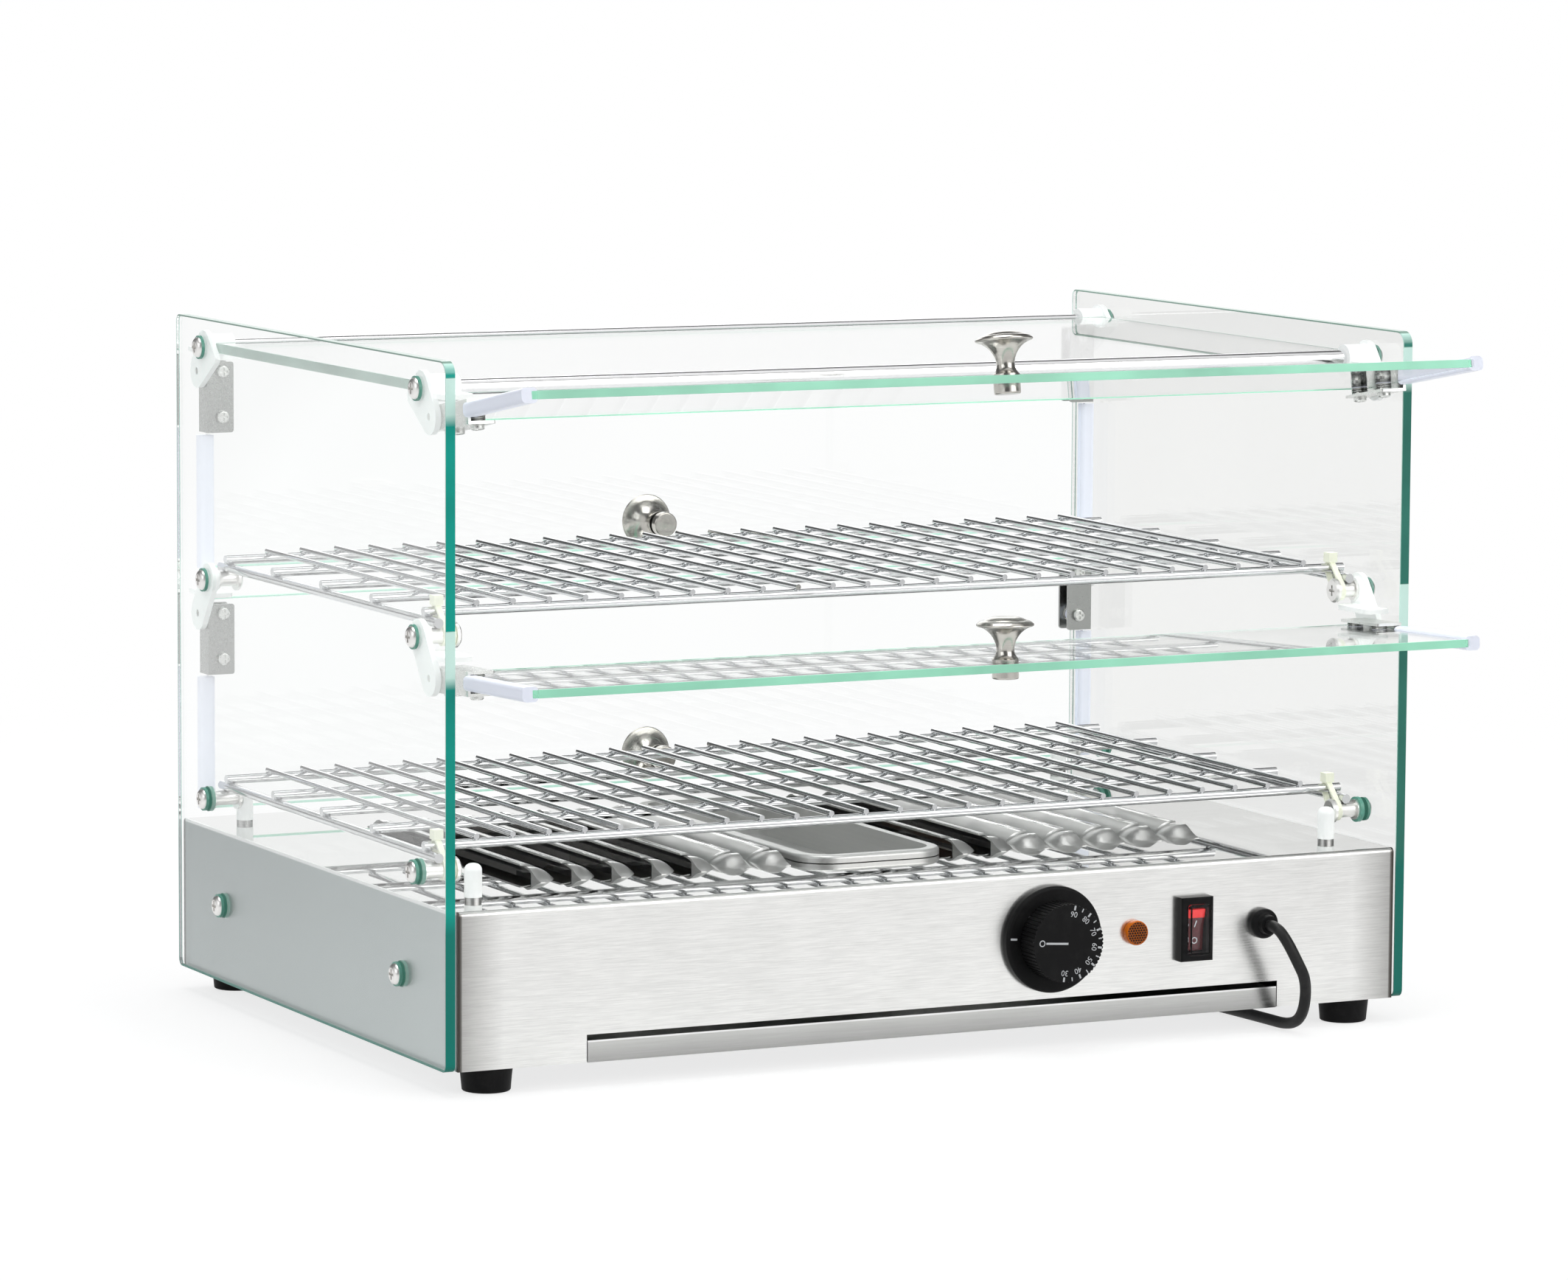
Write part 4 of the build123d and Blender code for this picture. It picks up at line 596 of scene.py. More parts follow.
class CASE_OT_cord(bpy.types.Operator):
    """Lays the power cord from its bushing under the base to the tied coil and the plug behind the case"""

    bl_idname = "display_case.cord"
    bl_label = "Power cord"

    def execute(self, context):
        choice = settings("case_cord")
        lead = np.array([
            (190.0, -191.5, 58.0), (190.0, -199.0, 58.0), (192.0, -206.0, 51.5), (197.0, -208.0, 41.0),
            (203.4, -207.5, 29.5), (205.0, -202.0, 11.0), (205.0, -189.0, 3.2), (203.8, -163.0, 3.2),
            (199.6, -112.0, 3.2), (190.0, -30.0, 3.2), (176.0, 52.0, 3.2), (164.6, 128.0, 3.2),
            (157.0, 190.0, 4.7), (157.0, 232.0, 4.7)]) * MM
        tail = np.array([(157.0, 253.0, 11.3), (157.0, 268.0, 11.3)]) * MM
        route = np.concatenate([lead, self.coil(choice), tail])
        curve = bpy.data.curves.new("power_cord", "CURVE")
        curve.dimensions = "3D"
        curve.bevel_depth = choice.diameter / 2
        curve.bevel_resolution = 6
        curve.resolution_u = 8
        curve.use_fill_caps = True
        spline = curve.splines.new("NURBS")
        spline.points.add(len(route) - 1)
        spline.points.foreach_set("co", np.column_stack([route, np.ones(len(route))]).ravel())
        spline.use_endpoint_u = True
        spline.order_u = 3
        cord = add_object("power_cord", curve)
        skin = Finish("cord_jacket", Specular_IOR_Level=0.35)
        skin.dress(grain_group(), 0.12, Tint=choice.jacket, Grain=1800.0, Dust=0.05, Roughness=0.48,
                   Spread=0.15)
        curve.materials.append(skin.material)
        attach(cord, "case")
        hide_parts("power_lead", "lead_coil")
        return {"FINISHED"}

    def coil(self, choice):
        """Turns of the coil: the radius falls by a pitch a turn, then grows again, a layer higher."""
        centre_x, centre_y, lowest, steps = 0.1141, 0.238, 0.0047, 16
        middle = choice.turns / 2
        turn = np.arange(steps * choice.turns + 1) / steps
        radius = choice.coil_radius - choice.pitch * (middle - np.abs(turn - middle))
        climb = np.clip((turn - middle) / 0.5 + 0.5, 0.0, 1.0)
        rise = lowest + choice.pitch * climb * climb * (3 - 2 * climb)
        swing = 2 * np.pi * turn
        return np.column_stack([centre_x + radius * np.cos(swing), centre_y + radius * np.sin(swing), rise])


class CASE_OT_glass(bpy.types.Operator):
    """Gives the panes clear glass and caps their edges with polished bands"""

    bl_idname = "display_case.glass"
    bl_label = "Glass"

    # On the side panes' edges: depth of the crest below the top, gap between the upper hinges' pale stretch
    # and the top, and height of the lower hinges' pale stretch. The pale stretches are a painted reflection
    # of the white hinge blocks.
    crest_depth, upper_gap, lower_rise = 0.0035, 0.008, 0.026

    def execute(self, context):
        choice = settings("case_glass")
        rear = [f"{door}_glass" for door in DOORS[2:]]
        self.clear("clear_pane", choice.pane).paint("top_glass", *rear)
        self.clear("left_pane", choice.pane, ior=1.52).paint("side_glass_left")
        # The right pane gets a grey tint: painted shade.
        self.clear("right_pane", choice.right_pane).paint("side_glass_right")
        for door, turn in zip(DOORS, (choice.upper_mirror, choice.lower_mirror)):
            self.clear(f"{door}_pane", choice.pane, turn).paint(f"{door}_glass")
        self.side_edges(choice)
        self.door_edges(choice)
        self.top_edge(choice)
        return {"FINISHED"}

    def side_edges(self, choice):
        """Bands round the two side panes, pale beside the hinge blocks."""
        radii = (choice.side_foot, choice.side_foot, choice.rear_corner, choice.front_corner)
        upper, lower = (JOINTS[f"{door}_hinge"]["pos_m"][2] for door in DOORS[:2])
        for side, core in (("left", choice.left_edge), ("right", choice.right_edge)):
            low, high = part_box(f"side_glass_{side}")
            points, out = rounded_outline((low.y, low.z), (high.y, high.z), radii)
            band, share_across = edge_band(points, out, high.x - low.x, choice.proud, choice.wrap)
            band = band[..., [2, 0, 1]] + np.array([(low.x + high.x) / 2, 0.0, 0.0])
            spans = ((high.z - self.crest_depth, high.z + 0.01), (upper, high.z - self.upper_gap),
                     (lower, lower + self.lower_rise))
            teal = self.edge(f"{side}_teal_edge", core, choice, 0.22, spans)
            self.cap(f"side_edge_{side}", band, share_across, teal, "case", "side_glass")

    def door_edges(self, choice):
        """Straight bands along the free edge and the pin's edge of each door."""
        mint = self.edge("mint_edge", choice.door_edge, choice, 0.34)
        reach = choice.door_half - choice.door_corner
        for door in DOORS:
            origin, x, y, z = door_frame(door, choice)
            for tag, height, way in (("free", -choice.door_drop, -1.0), ("pin", choice.door_rise, 1.0)):
                points = np.array([(-reach, height), (reach, height)])
                out = np.array([(0.0, way), (0.0, way)])
                band, share_across = edge_band(points, out, choice.door_thickness, choice.proud, choice.wrap)
                placed = origin + band @ np.stack([x, y, z])
                name = f"{door}_{tag}_edge"
                self.cap(name, placed, share_across, mint, f"{door}_door", "door_glass", False)

    def top_edge(self, choice):
        """Band round the top pane."""
        low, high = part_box("top_glass")
        corner = 0.0015
        points, out = rounded_outline((low.x, low.y), (high.x, high.y), (corner,) * 4)
        band, share_across = edge_band(points, out, high.z - low.z, choice.proud, choice.wrap)
        placed = band + np.array([0.0, 0.0, (low.z + high.z) / 2])
        roof = self.edge("roof_edge", choice.roof_edge, choice, 0.1)
        self.cap("top_edge", placed, share_across, roof, "case", "door_glass")

    def cap(self, name, band, share_across, finish, body, slot, closed=True):
        """One band as a piece; its map runs round the pane and across the edge."""
        rows, columns = band.shape[:2]
        around = np.arange(rows)[:, None] / rows
        uv = np.stack(np.broadcast_arrays(around, share_across), axis=-1).reshape(-1, 2)
        faces = grid_faces(rows, columns, close_rows=closed)
        points = band.reshape(-1, 3)
        a, b, c = points[faces[0][:3]]
        if np.dot(np.cross(b - a, c - a), a - points.mean(axis=0)) < 0:
            faces = faces[:, ::-1]
        new_piece(name, points, faces, finish, body, smooth=False, uv=uv)

    def clear(self, name, tint, turn=0.0, ior=1.33):
        """Clear glass; lamps shine through it. Its mirror image may be turned about the X axis."""
        skin = Finish(name, Roughness=0.0, IOR=ior, Transmission_Weight=1.0)
        haze = skin.ramp(skin.noise(skin.place(), 7.0, 3.0), 0.3, 0.7)
        skin.feed(skin.mix(haze, tint, times(tint, 0.985)), "Base Color")
        if turn:
            normal = skin.put("NewGeometry").outputs["Normal"]
            turned = skin.put("VectorRotate", {"Vector": normal, "Angle": turn}, rotation_type="X_AXIS")
            skin.feed(turned.outputs[0], "Normal")
        return skin.lamps_through((0.96, 0.98, 0.97))

    def edge(self, name, core, choice, glow, spans=()):
        """Polished edge: deep colour in the middle, pale lines along both sides, slow change along the pane.

        Between the heights of each span it is pale, with a soft lower end; the crest is a grey-green line.
        """
        # The band glows a little: painted glow.
        skin = Finish(name, Roughness=0.12, Specular_IOR_Level=0.25, Emission_Strength=glow)
        middle = skin.math("ABSOLUTE", skin.math("SUBTRACT", skin.own_map()["Y"], 0.5))
        # Pale lines along both sides: painted highlights.
        rim = skin.ramp(middle, 0.36, 0.44, 0.0, 0.8)
        level = skin.ramp(skin.noise(skin.place(), 18.0, 3.0), 0.3, 0.7)
        final = skin.mix(rim, skin.mix(level, times(core, 0.7), core), choice.arris)
        if spans:
            height = skin.parts(skin.place())["Z"]
            # Darker beside the base: painted shade.
            beside_base = skin.ramp(height, 0.082, 0.094, 0.8, 0.0)
            final = skin.mix(beside_base, final, choice.foot_edge)
            # Pale over each span: painted reflection of the white hinge blocks.
            pale, soft, sharp = 0.0, 0.003, 0.0003
            for low, high in spans:
                above = skin.ramp(height, low - soft, low + soft)
                below = skin.ramp(height, high - sharp, high + sharp, 1.0, 0.0)
                pale = skin.math("MAXIMUM", skin.math("MULTIPLY", above, below), pale)
            final = skin.mix(pale, final, choice.pale_edge)
            top = spans[0][0] + self.crest_depth
            crest = skin.ramp(height, top - 0.0011, top - 0.0008)
            final = skin.mix(crest, final, choice.top_line)
        skin.feed(final, "Base Color", "Emission Color")
        return skin


class CASE_OT_sheet(bpy.types.Operator):
    """Finishes the folded sheet, the ends, the floor, the tray and the pan"""

    bl_idname = "display_case.sheet"
    bl_label = "Sheet metal"

    def execute(self, context):
        choice = settings("case_metal")
        self.folded(choice).paint("base_shell")
        for name, tint, stretch, roughness, share, node in (
                ("floor_sheet", choice.zinc, (60.0, 60.0, 60.0), 0.5, 1.0, "base_floor"),
                ("pan_sheet", (0.66, 0.66, 0.65), (500.0, 8.0, 500.0), 0.36, 0.75, "water_pan")):
            skin = metal(name, share)
            skin.dress(brush_group(), 0.1, Tint=tint, Stretch=stretch, Contrast=0.14, Clouds=0.12,
                       Roughness=roughness, Spread=0.12).paint(node)
        self.lip(choice).paint("crumb_tray")
        self.side(choice).paint("base_ends")
        return {"FINISHED"}

    def side(self, choice):
        """Satin ends, lighter towards the front and the bottom, with a bright fold and dark seams."""
        low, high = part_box("base_ends")
        skin = metal("end_sheet")
        place = skin.parts(skin.place())
        # Painted light: lighter towards the front and the bottom.
        forward = skin.ramp(place["Y"], high.y, low.y, 0.0, 0.6)
        lower = skin.ramp(place["Z"], high.z, low.z, 0.0, 0.4)
        tint = skin.mix(skin.math("ADD", forward, lower), choice.end, choice.end_light)
        # Painted highlight along the fold.
        fold = skin.ramp(place["Z"], high.z - 0.002, high.z - 0.0012)
        tint = skin.mix(fold, tint, (0.95, 0.96, 0.96))
        # Painted shade in the seams.
        seam = skin.ramp(skin.math("ABSOLUTE", place["Y"]), high.y - 0.003, high.y - 0.0015, 0.0, 0.95)
        tint = skin.mix(seam, tint, choice.painted_shade)
        return skin.dress(brush_group(), 0.1, Tint=tint, Stretch=(900.0, 7.0, 900.0), Contrast=0.14,
                          Clouds=0.12, Roughness=0.42, Spread=0.12, Relief=0.1)

    def lip(self, choice):
        """Satin tray; its lip goes from bright at the top to grey at the bottom."""
        low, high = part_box("crumb_tray")
        skin = metal("tray_sheet")
        height = skin.parts(skin.place())["Z"]
        # Painted light and shade: lighter at the top, darker at the bottom.
        shade = skin.ramp(height, low.z, high.z - 0.0012)
        tint = skin.mix(shade, times(choice.brushed, 0.46), times(choice.brushed, 0.68))
        # Painted highlight along the crest.
        crest = skin.ramp(height, high.z - 0.0011, high.z - 0.0006)
        tint = skin.mix(crest, tint, (0.95, 0.95, 0.95))
        return skin.dress(brush_group(), 0.1, Tint=tint, Stretch=(40.0, 1800.0, 1800.0), Contrast=0.3,
                          Clouds=0.15, Roughness=0.22, Spread=0.12)

    def folded(self, choice):
        """Brushed upright faces, satin louvres, and a deck polished almost to a mirror; dark at both ends."""
        skin = metal("brushed_sheet")
        facing = skin.parts(skin.put("TexCoord").outputs["Normal"])
        upright = skin.ramp(skin.math("ABSOLUTE", facing["Y"]), 0.6, 0.95)
        level = skin.ramp(facing["Z"], 0.97, 0.999)
        hump = skin.math("SUBTRACT", skin.math("SUBTRACT", 1.0, level), upright, True)
        rough = skin.ramp(level, 0.0, 1.0, skin.ramp(hump, 0.0, 1.0, 0.24, 0.34), 0.02)
        spread = skin.ramp(level, 0.0, 1.0, 0.10, 0.01)
        contrast = skin.ramp(upright, 0.0, 1.0, 0.05, 0.42)
        clouds = skin.ramp(upright, 0.0, 1.0, 0.08, 0.24)
        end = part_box("base_shell")[1].x
        along = skin.math("ABSOLUTE", skin.parts(skin.place())["X"])
        # Painted shade towards both ends, darkest at the very end.
        shade = skin.ramp(along, end - 0.024, end, 0.0, 0.5)
        shade = skin.math("MAXIMUM", shade, skin.ramp(along, end - 0.0024, end - 0.0006, 0.0, 0.9))
        tint = skin.mix(level, choice.brushed, choice.sheet)
        # The louvres take a darker tint: painted shade.
        tint = skin.mix(hump, tint, choice.satin)
        tint = skin.mix(skin.math("MULTIPLY", shade, upright), tint, choice.painted_shade)
        return skin.dress(brush_group(), 0.12, Tint=tint, Stretch=(70.0, 1800.0, 1800.0), Contrast=contrast,
                          Clouds=clouds, Roughness=rough, Spread=spread, Relief=upright)


class CASE_OT_wire(bpy.types.Operator):
    """Finishes rods, wires, knobs, clamps and screws, and adds the weld spots of the shelves"""

    bl_idname = "display_case.wire"
    bl_label = "Wire and fittings"

    # Collars of the clamp screws: radius, height of a ridge, the stretches on both sides of the glass, and
    # the places of the screws from the middle of the pin.
    collar, ridge = 0.00406, 0.00034
    collar_spans = ((0.00205, 0.00395), (-0.00545, -0.00205))
    screws = ((-0.260, 0.0), (-0.260, -0.0245), (0.260, 0.0), (0.260, -0.0245))

    # Welds of a shelf: wires and rods on each side of the middle one, their pitches, and the welds' depth
    # below the top.
    wires, wire_pitch, rods, rod_pitch, weld_drop = 12, 0.020, 2, 0.067, 0.0031

    def execute(self, context):
        choice, glass = settings("case_metal"), settings("case_glass")
        # Shelf chrome, tinted darker than the rails: painted shade.
        chrome = self.plated(metal("chrome"), choice.wire, 0.07, 400.0)
        chrome.paint(*SHELVES)
        self.plated(metal("rail_chrome"), choice.chrome, 0.16, 400.0).paint("top_rails")
        screw = self.plated(metal("screw_chrome"), (0.97, 0.96, 0.94), 0.36, 900.0)
        screw.paint("glass_screws", "shelf_studs")
        self.plated(metal("zinc_screw"), choice.zinc, 0.3, 700.0).paint("base_screws")
        steel = self.plated(metal("clamp_steel"), choice.clamp, 0.28, 500.0)
        # The rear clamps get a darker copy of the clamp steel: painted shade.
        dark = self.plated(metal("rear_clamp_steel"), choice.rear_clamp, 0.28, 500.0)
        ridged = self.ridged(choice)
        for door in DOORS:
            origin, *axes = door_frame(door, glass)
            tip = math.atan2(-axes[2][1], axes[2][2])
            low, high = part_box(f"{door}_knob")
            skin = metal(f"{door}_nickel")
            own_axis = skin.place((low + high) / 2, (tip, 0.0, 0.0))
            skin.dress(turned_group(), 0.08, own_axis, Tint=choice.nickel, Lines=1800.0, Contrast=0.22,
                       Roughness=0.2, Spread=0.12).paint(f"{door}_knob")
            steel.paint(f"{door}_clamp_screws")
            (steel if door in DOORS[:2] else dark).paint(f"{door}_clamps")
            self.threads(door, origin, axes, ridged, choice)
        for shelf in SHELVES:
            self.welds(shelf, chrome, choice)
        return {"FINISHED"}

    def threads(self, door, origin, axes, finish, choice):
        """Ridged collars round the clamp screws: the radius is a triangle wave of height over pitch."""
        count = 20
        points, faces, maps, start = [], [], [], 0
        for low, high in self.collar_spans:
            height = np.linspace(low, high, int(round((high - low) / choice.thread_pitch * 4)) + 1)
            wave = 2 * np.abs((height - low) / choice.thread_pitch % 1.0 - 0.5)
            tube = rings(self.collar + self.ridge * (1 - wave), height, count)
            quads = grid_faces(len(height), count, close_columns=True)[:, ::-1]
            for place in self.screws:
                points.append(tube + np.array([*place, 0.0]))
                faces.append(quads + start)
                maps.append(np.repeat(np.column_stack([wave, height]), count, axis=0))
                start += len(tube)
        placed = origin + np.concatenate(points) @ np.stack(axes)
        new_piece(f"{door}_threads", placed, np.concatenate(faces), finish, f"{door}_door",
                  smooth=False, uv=np.concatenate(maps))

    def ridged(self, choice):
        """Steel thread, dark in its grooves."""
        skin = metal("thread_steel")
        # Nearly black in the grooves: painted shade.
        tint = skin.mix(skin.own_map()["X"], choice.clamp, (0.02, 0.017, 0.014))
        return self.plated(skin, tint, 0.2, 500.0)

    def plated(self, skin, tint, roughness, grain):
        """Bright plating with a little unevenness."""
        return skin.dress(brush_group(), 0.05, Tint=tint, Stretch=(grain,) * 3, Contrast=0.1, Clouds=0.1,
                          Roughness=roughness, Spread=0.08)

    def welds(self, shelf, finish, choice):
        """Flat ellipsoids where wires cross rods.

        x, y = centre + width cos v (cos u, sin u); z = centre + height sin v.
        """
        at_x = np.arange(-self.wires, self.wires + 1) * self.wire_pitch
        at_y = np.arange(-self.rods, self.rods + 1) * self.rod_pitch
        at_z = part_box(shelf)[1].z - self.weld_drop
        centres = np.stack(np.meshgrid(at_x, at_y, [at_z], indexing="ij"), axis=-1).reshape(-1, 1, 3)
        count = 8
        v = np.linspace(-np.pi / 2, np.pi / 2, 6) * 0.97
        bead = rings(choice.weld_width * np.cos(v), choice.weld_height * np.sin(v), count)
        quads = grid_faces(len(v), count, close_columns=True)[:, ::-1]
        faces = np.arange(len(centres))[:, None, None] * len(bead) + quads
        new_piece(f"{shelf}_welds", (centres + bead).reshape(-1, 3), faces.reshape(-1, 4), finish, "case")


class CASE_OT_plastics(bpy.types.Operator):
    """Finishes nylon, rubber, clear strips, moulded parts and what sits inside the base"""

    bl_idname = "display_case.plastics"
    bl_label = "Plastics and rubber"

    def execute(self, context):
        black = settings("case_controls").plastic
        for name, tint, grain, dust, rough, *nodes in (
                ("moulded_black", black, 2600.0, 0.015, 0.42, "thermostat_bezel", "thermostat_knob",
                 "switch_housing", "cord_gland", "lamp_body", "terminal_block"),
                ("foot_rubber", black, 1500.0, 0.02, 0.5, "feet"),
                ("plug_black", black, 2200.0, 0.05, 0.4, "plug"),
                ("wire_sleeve", (0.55, 0.52, 0.48), 900.0, 0.1, 0.6, "wiring")):
            skin = Finish(name, Specular_IOR_Level=0.13)
            skin.dress(grain_group(), 0.12, Tint=tint, Grain=grain, Dust=dust, Roughness=rough, Spread=0.16)
            skin.paint(*nodes)
        for name, tint, rough, *nodes in (
                ("white_nylon", (0.92, 0.95, 0.94), 0.35,
                 "top_hinge_blocks", "middle_hinge_blocks", "bumper_caps"),
                ("pale_washer", (0.11, 0.32, 0.25), 0.3, "glass_washers"),
                ("tie_nylon", (0.84, 0.86, 0.72), 0.38, "shelf_ties", "coil_tie")):
            # These glow a little in their own tint: painted glow.
            skin = Finish(name, Subsurface_Weight=0.4, Subsurface_Radius=(0.004,) * 3, Emission_Color=tint,
                          Emission_Strength=0.22)
            skin.dress(grain_group(), 0.06, Tint=tint, Grain=900.0, Dust=0.02, Roughness=rough, Spread=0.12)
            skin.paint(*nodes)
        seals = [f"{door}_seals" for door in DOORS]
        for name, tint, rough, ior, clear, glow, *nodes in (
                ("clear_strip", (0.80, 0.82, 0.88), 0.3, 1.42, 0.3, 0.18, *seals),
                ("clear_cover", (0.94, 0.95, 0.96), 0.05, 1.22, 1.0, 0.0, "switch_cover")):
            # The clear strips glow a little: painted glow.
            skin = Finish(name, IOR=ior, Transmission_Weight=clear, Emission_Color=tint,
                          Emission_Strength=glow)
            skin.dress(grain_group(), 0.05, Tint=tint, Grain=500.0, Dust=0.01, Roughness=rough, Spread=0.06)
            skin.lamps_through((0.9, 0.92, 0.95)).paint(*nodes)
        for name, tint, rough, *nodes in (
                ("bumper_steel", (0.68, 0.68, 0.67), 0.3,
                 "bumper_pins", "thermostat_shaft", "element_brackets"),
                ("copper_body", (0.72, 0.40, 0.26), 0.3, "thermostat_body"),
                ("element_steel", (0.22, 0.20, 0.19), 0.45, "heating_elements")):
            metal(name).dress(brush_group(), 0.06, Tint=tint, Stretch=(400.0,) * 3, Contrast=0.16, Clouds=0.3,
                              Roughness=rough, Spread=0.12).paint(*nodes)
        return {"FINISHED"}


class CASE_OT_controls(bpy.types.Operator):
    """Prints the dial and the rocker, and makes the honeycomb lens of the pilot lamp"""

    bl_idname = "display_case.controls"
    bl_label = "Controls"

    # Marks stand this far before the face they are printed on.
    gap = 0.00004

    # Dial, in shares of its radius: lengths of bold and thin ticks and of the off line, and where ticks,
    # numerals, the off ring and the middle of the off line stand.
    bold_tick, thin_tick, off_line = 0.115, 0.095, 0.63
    ticks_at, numerals_at, off_ring_at, off_line_at = 0.915, 0.745, 0.744, 0.318

    # Widths of bold and thin ticks and of lines, length and place of the bezel's tick, radius and stroke
    # of the rings.
    bold_width, thin_width, line_width, rim_tick, rim_tick_at = 0.00105, 0.0006, 0.0011, 0.0038, 0.0242
    off_ring, rocker_ring = (0.00145, 0.00055), (0.0015, 0.00045)

    def execute(self, context):
        choice = settings("case_controls")
        mark = Finish("printed_mark").dress(grain_group(), 0.04, depth=0.0001, Tint=choice.mark, Grain=3000.0,
                                            Dust=0.1, Roughness=0.5, Spread=0.1)
        self.dial(choice, mark)
        self.rocker(choice, mark)
        self.lens(choice)
        return {"FINISHED"}

    def bar(self, long, wide):
        """Flat rectangle about its middle, x across and y along."""
        return np.array(CORNERS) * (wide / 2, long / 2)

    def ring(self, radius, stroke, count=28):
        """Flat ring: two circles joined by quads."""
        circles = rings(np.array([radius - stroke / 2, radius + stroke / 2]), np.zeros(2), count)
        return circles[:, :2], grid_faces(2, count, close_columns=True).tolist()

    def word(self, text, size):
        """Flat letters about their middle, as points and faces."""
        curve = bpy.data.curves.new("letters", "FONT")
        curve.body = text
        curve.size = size
        curve.align_x = "CENTER"
        curve.align_y = "CENTER"
        curve.resolution_u = 3
        holder = add_object("letters", curve)
        mesh = bpy.data.meshes.new_from_object(holder)
        points = np.zeros(len(mesh.vertices) * 3, np.float32)
        mesh.vertices.foreach_get("co", points)
        faces = [list(face.vertices) for face in mesh.polygons]
        bpy.data.objects.remove(holder)
        bpy.data.meshes.remove(mesh)
        bpy.data.curves.remove(curve)
        return points.reshape(-1, 3)[:, :2], faces

    def gather(self, *marks):
        """Joins flat marks given as (points, faces, turn, place): each is turned and moved in the plane."""
        points, faces, start = [], [], 0
        for flat, quads, turn, place in marks:
            c, s = math.cos(turn), math.sin(turn)
            points.append(flat @ np.array([(c, s), (-s, c)]) + np.asarray(place))
            faces += [[start + i for i in quad] for quad in quads]
            start += len(flat)
        return np.concatenate(points), faces

    def dial(self, choice, mark):
        """Numerals and ticks round the face, the off ring with its line, and the tick on the bezel."""
        low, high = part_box("thermostat_knob")
        centre = np.array(((low + high) / 2).xz)
        radius = choice.face_radius
        quarter = math.pi / 2
        marks = []
        for k in range(13):
            turn = choice.first_angle + (choice.last_angle - choice.first_angle) * k / 12
            way = np.array([math.cos(turn), math.sin(turn)])
            bold = k % 2 == 0
            share, width = (self.bold_tick, self.bold_width) if bold else (self.thin_tick, self.thin_width)
            tick = self.bar(share * radius, width)
            marks.append((tick, QUAD, turn - quarter, way * self.ticks_at * radius))
            if bold:
                figure = self.word(str(30 + 5 * k), choice.numeral)
                marks.append((*figure, turn - quarter, way * self.numerals_at * radius))
        off = np.array([math.cos(choice.off_angle), math.sin(choice.off_angle)])
        off_turn = choice.off_angle - quarter
        marks.append((*self.ring(*self.off_ring), 0.0, off * self.off_ring_at * radius))
        line = self.bar(self.off_line * radius, self.line_width)
        marks.append((line, QUAD, off_turn, off * self.off_line_at * radius))
        flat, faces = self.gather(*marks)
        self.on_panel("dial_marks", flat + centre, faces, low.y, mark, "thermostat_dial")
        tick = self.bar(self.rim_tick, self.line_width)
        flat, faces = self.gather((tick, QUAD, off_turn, off * self.rim_tick_at))
        self.on_panel("bezel_mark", flat + centre, faces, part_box("thermostat_bezel")[0].y, mark, "case")

    def on_panel(self, name, flat, faces, front, mark, body):
        """Flat marks that face the front, just before a face."""
        points = np.stack([flat[:, 0], np.full(len(flat), front - self.gap), flat[:, 1]], axis=-1)
        new_piece(name, points, faces, mark, body, smooth=False)

    def rocker(self, choice, mark):
        """Red translucent rocker; a bar and a ring on its two faces, which rise from waist to ends."""
        skin = Finish("red_rocker", IOR=1.49, Coat_Weight=0.4, Emission_Strength=0.25)
        pivot = np.array(JOINTS["rocker_tilt"]["pos_m"], float)
        # Painted light: the top band is lit red and glows; below it, wine red in painted shade.
        lit = skin.ramp(skin.parts(skin.place())["Z"], pivot[2] + 0.0056, pivot[2] + 0.0061)
        skin.feed(skin.mix(lit, BLACK, choice.red), "Emission Color")
        tint = skin.mix(lit, choice.wine, choice.red)
        skin.dress(grain_group(), 0.05, Tint=tint, Grain=700.0, Dust=0.02, Roughness=0.2, Spread=0.1)
        skin.paint("rocker")
        lean, slope, waist, gap = math.radians(8.0), 0.0009 / 0.0111, 0.0041, 0.00005
        bar_turn, bar_at, ring_at = math.radians(-14.0), 0.0032, -0.0058
        side = np.array([1.0, 0.0, 0.0])
        up = np.array([0.0, -math.sin(lean), math.cos(lean)])
        out = np.array([0.0, -math.cos(lean), -math.sin(lean)])
        flat, faces = self.gather((self.bar(0.0036, 0.0005), QUAD, bar_turn, (0.0, bar_at)),
                                  (*self.ring(*self.rocker_ring), 0.0, (0.0, ring_at)))
        lift = waist + slope * np.abs(flat[:, 1:]) + gap
        points = pivot + flat[:, :1] * side + flat[:, 1:] * up + lift * out
        new_piece("rocker_marks", points, faces, mark, "switch_rocker", smooth=False)

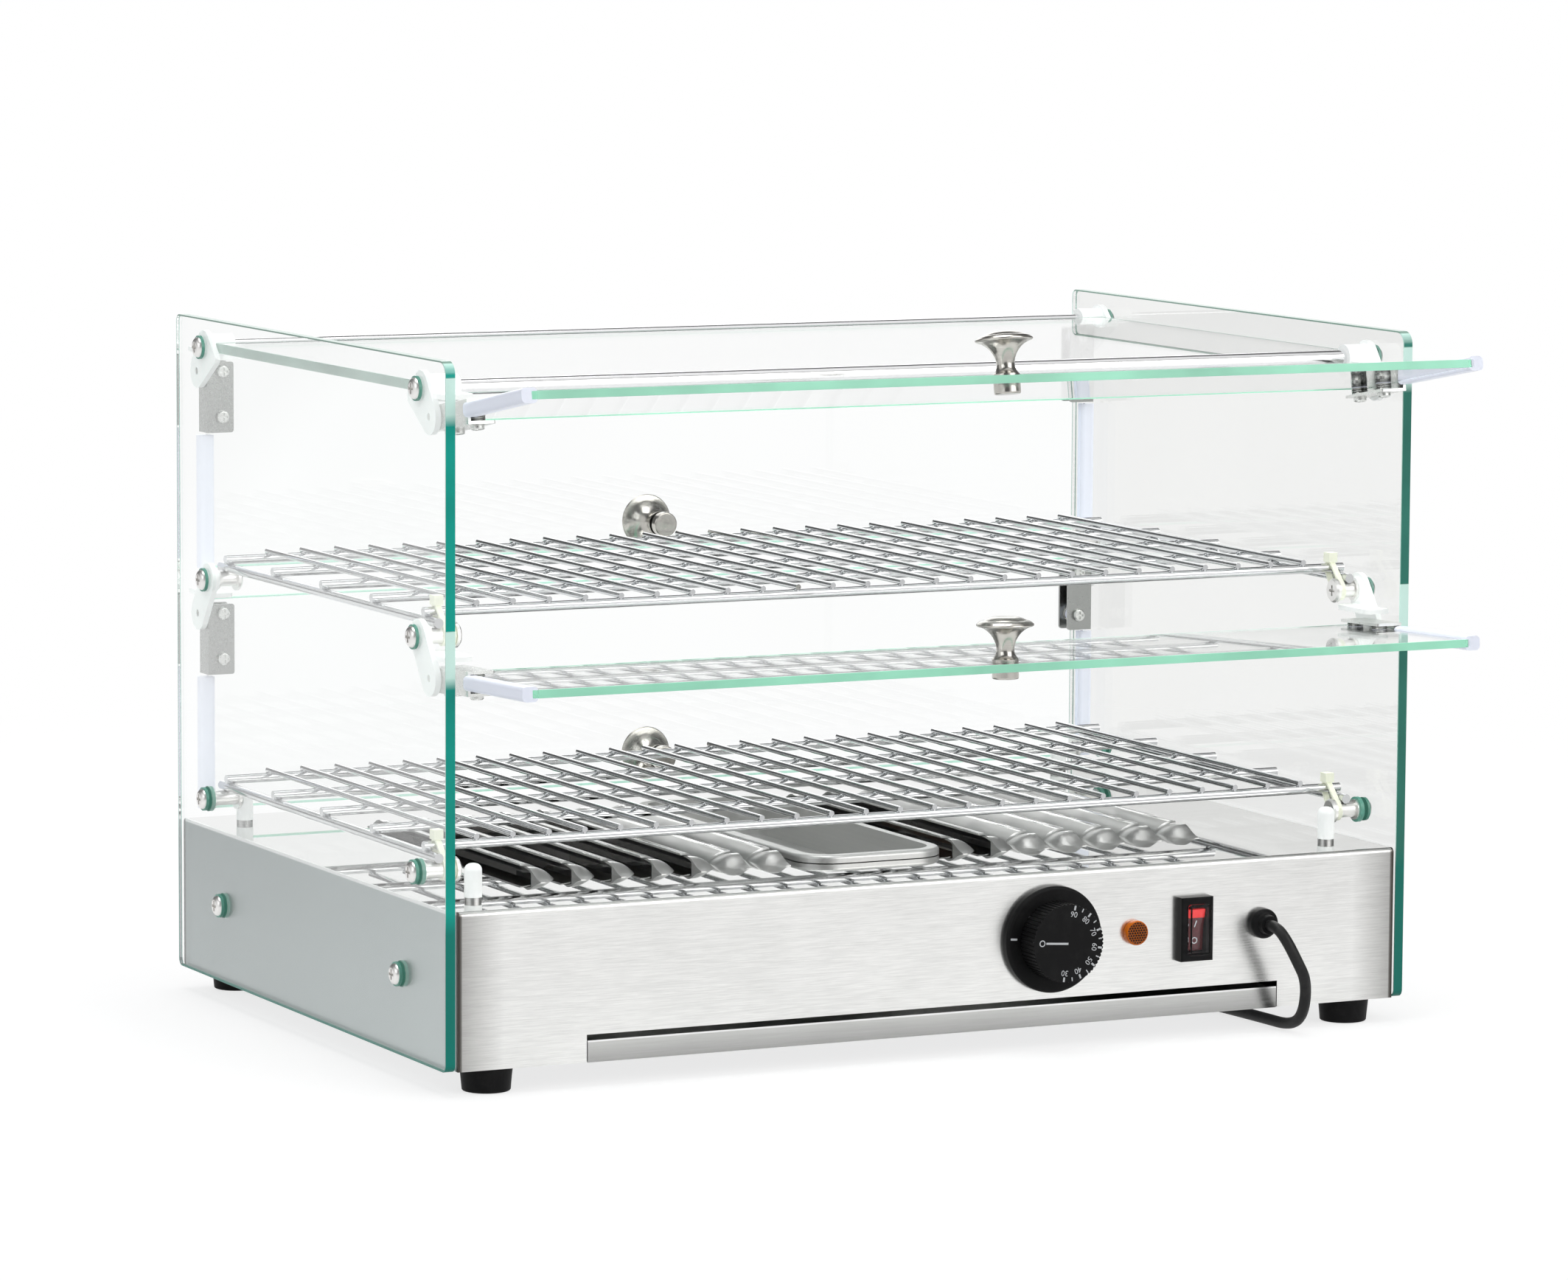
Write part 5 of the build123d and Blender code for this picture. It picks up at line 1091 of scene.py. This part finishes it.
    def lens(self, choice):
        """Round lens: a grid of circles and spokes whose face is dimpled in a honeycomb.

        Depth at a point is a dimple's depth times 1 minus the squared distance to the nearest cell centre
        over the squared half width; cell centres are two rectangular lattices, one shifted by half a step.
        """
        low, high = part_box("lamp_lens")
        middle = ((low + high) / 2).xz
        radius = (high.x - low.x) / 2
        circles, spokes, thickness, dimple_depth = 44, 120, 0.0037, 0.00042
        share_out = np.concatenate([np.linspace(0.004, 0.86, circles), [0.90, 0.94, 0.97, 0.99, 1.0, 1.0]])
        depth = np.concatenate([np.zeros(circles), [0.0, 0.0001, 0.0003, 0.0006, 0.001, thickness]])
        flat = rings(radius * share_out, np.zeros(len(share_out)), spokes)[:, :2].reshape(-1, spokes, 2)
        step = np.array([choice.cell, math.sqrt(3) * choice.cell])
        first = (flat + step / 2) % step - step / 2
        second = flat % step - step / 2
        near = np.minimum((first**2).sum(-1), (second**2).sum(-1))
        dimple = dimple_depth * np.clip(1 - near / (0.5 * choice.cell) ** 2, 0.0, 1.0)
        dimple[circles:] = 0.0
        y = low.y + depth[:, None] + dimple
        points = np.stack([flat[..., 0] + middle[0], y, flat[..., 1] + middle[1]], axis=-1).reshape(-1, 3)
        faces = grid_faces(len(share_out), spokes, close_columns=True)
        # Painted shade: the deeper in a cell, the browner.
        sunk = np.clip(2.2 * dimple / dimple.max(), 0.0, 1.0)
        uv = np.stack(np.broadcast_arrays(sunk, share_out[:, None]), axis=-1).reshape(-1, 2)
        skin = Finish("amber_lens", IOR=1.3, Coat_Weight=0.1, Emission_Strength=0.16)
        tint = skin.mix(skin.own_map()["X"], choice.amber, choice.brown)
        skin.feed(tint, "Emission Color")
        skin.dress(grain_group(), 0.04, depth=0.0001, Tint=tint, Grain=900.0, Dust=0.0, Roughness=0.22,
                   Spread=0.1)
        piece = new_piece("lamp_honeycomb", points, faces, skin, "case", uv=uv)
        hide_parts("lamp_lens")


class CASE_PT_panel(bpy.types.Panel):
    """Lists the pieces and their sizes"""

    bl_idname = "CASE_PT_panel"
    bl_label = "Display case"
    bl_space_type = "VIEW_3D"
    bl_region_type = "UI"
    bl_category = "Display case"

    def draw(self, context):
        column = self.layout.column()
        for operator in OPERATORS:
            column.operator(operator.bl_idname)
        for name, group in GROUPS.items():
            box = column.box()
            for key in group.__annotations__:
                box.prop(getattr(context.scene, name), key)


OPERATORS = (CASE_OT_stage, CASE_OT_cord, CASE_OT_glass, CASE_OT_sheet, CASE_OT_wire, CASE_OT_plastics,
             CASE_OT_controls)


def register():
    """Registers the classes and hangs the settings on the scene."""
    for cls in (*GROUPS.values(), *OPERATORS, CASE_PT_panel):
        bpy.utils.register_class(cls)
    for name, group in GROUPS.items():
        setattr(bpy.types.Scene, name, PointerProperty(type=group))


def unregister():
    """Takes the settings and the classes away again."""
    for name in GROUPS:
        delattr(bpy.types.Scene, name)
    for cls in reversed((*GROUPS.values(), *OPERATORS, CASE_PT_panel)):
        bpy.utils.unregister_class(cls)


def main():
    """Makes every piece in order and writes the boxes of the frame and of the finished case."""
    register()
    bpy.ops.display_case.stage()
    bpy.ops.display_case.cord()
    bpy.ops.display_case.glass()
    bpy.ops.display_case.sheet()
    bpy.ops.display_case.wire()
    bpy.ops.display_case.plastics()
    bpy.ops.display_case.controls()


if __name__ == "__main__":
    main()
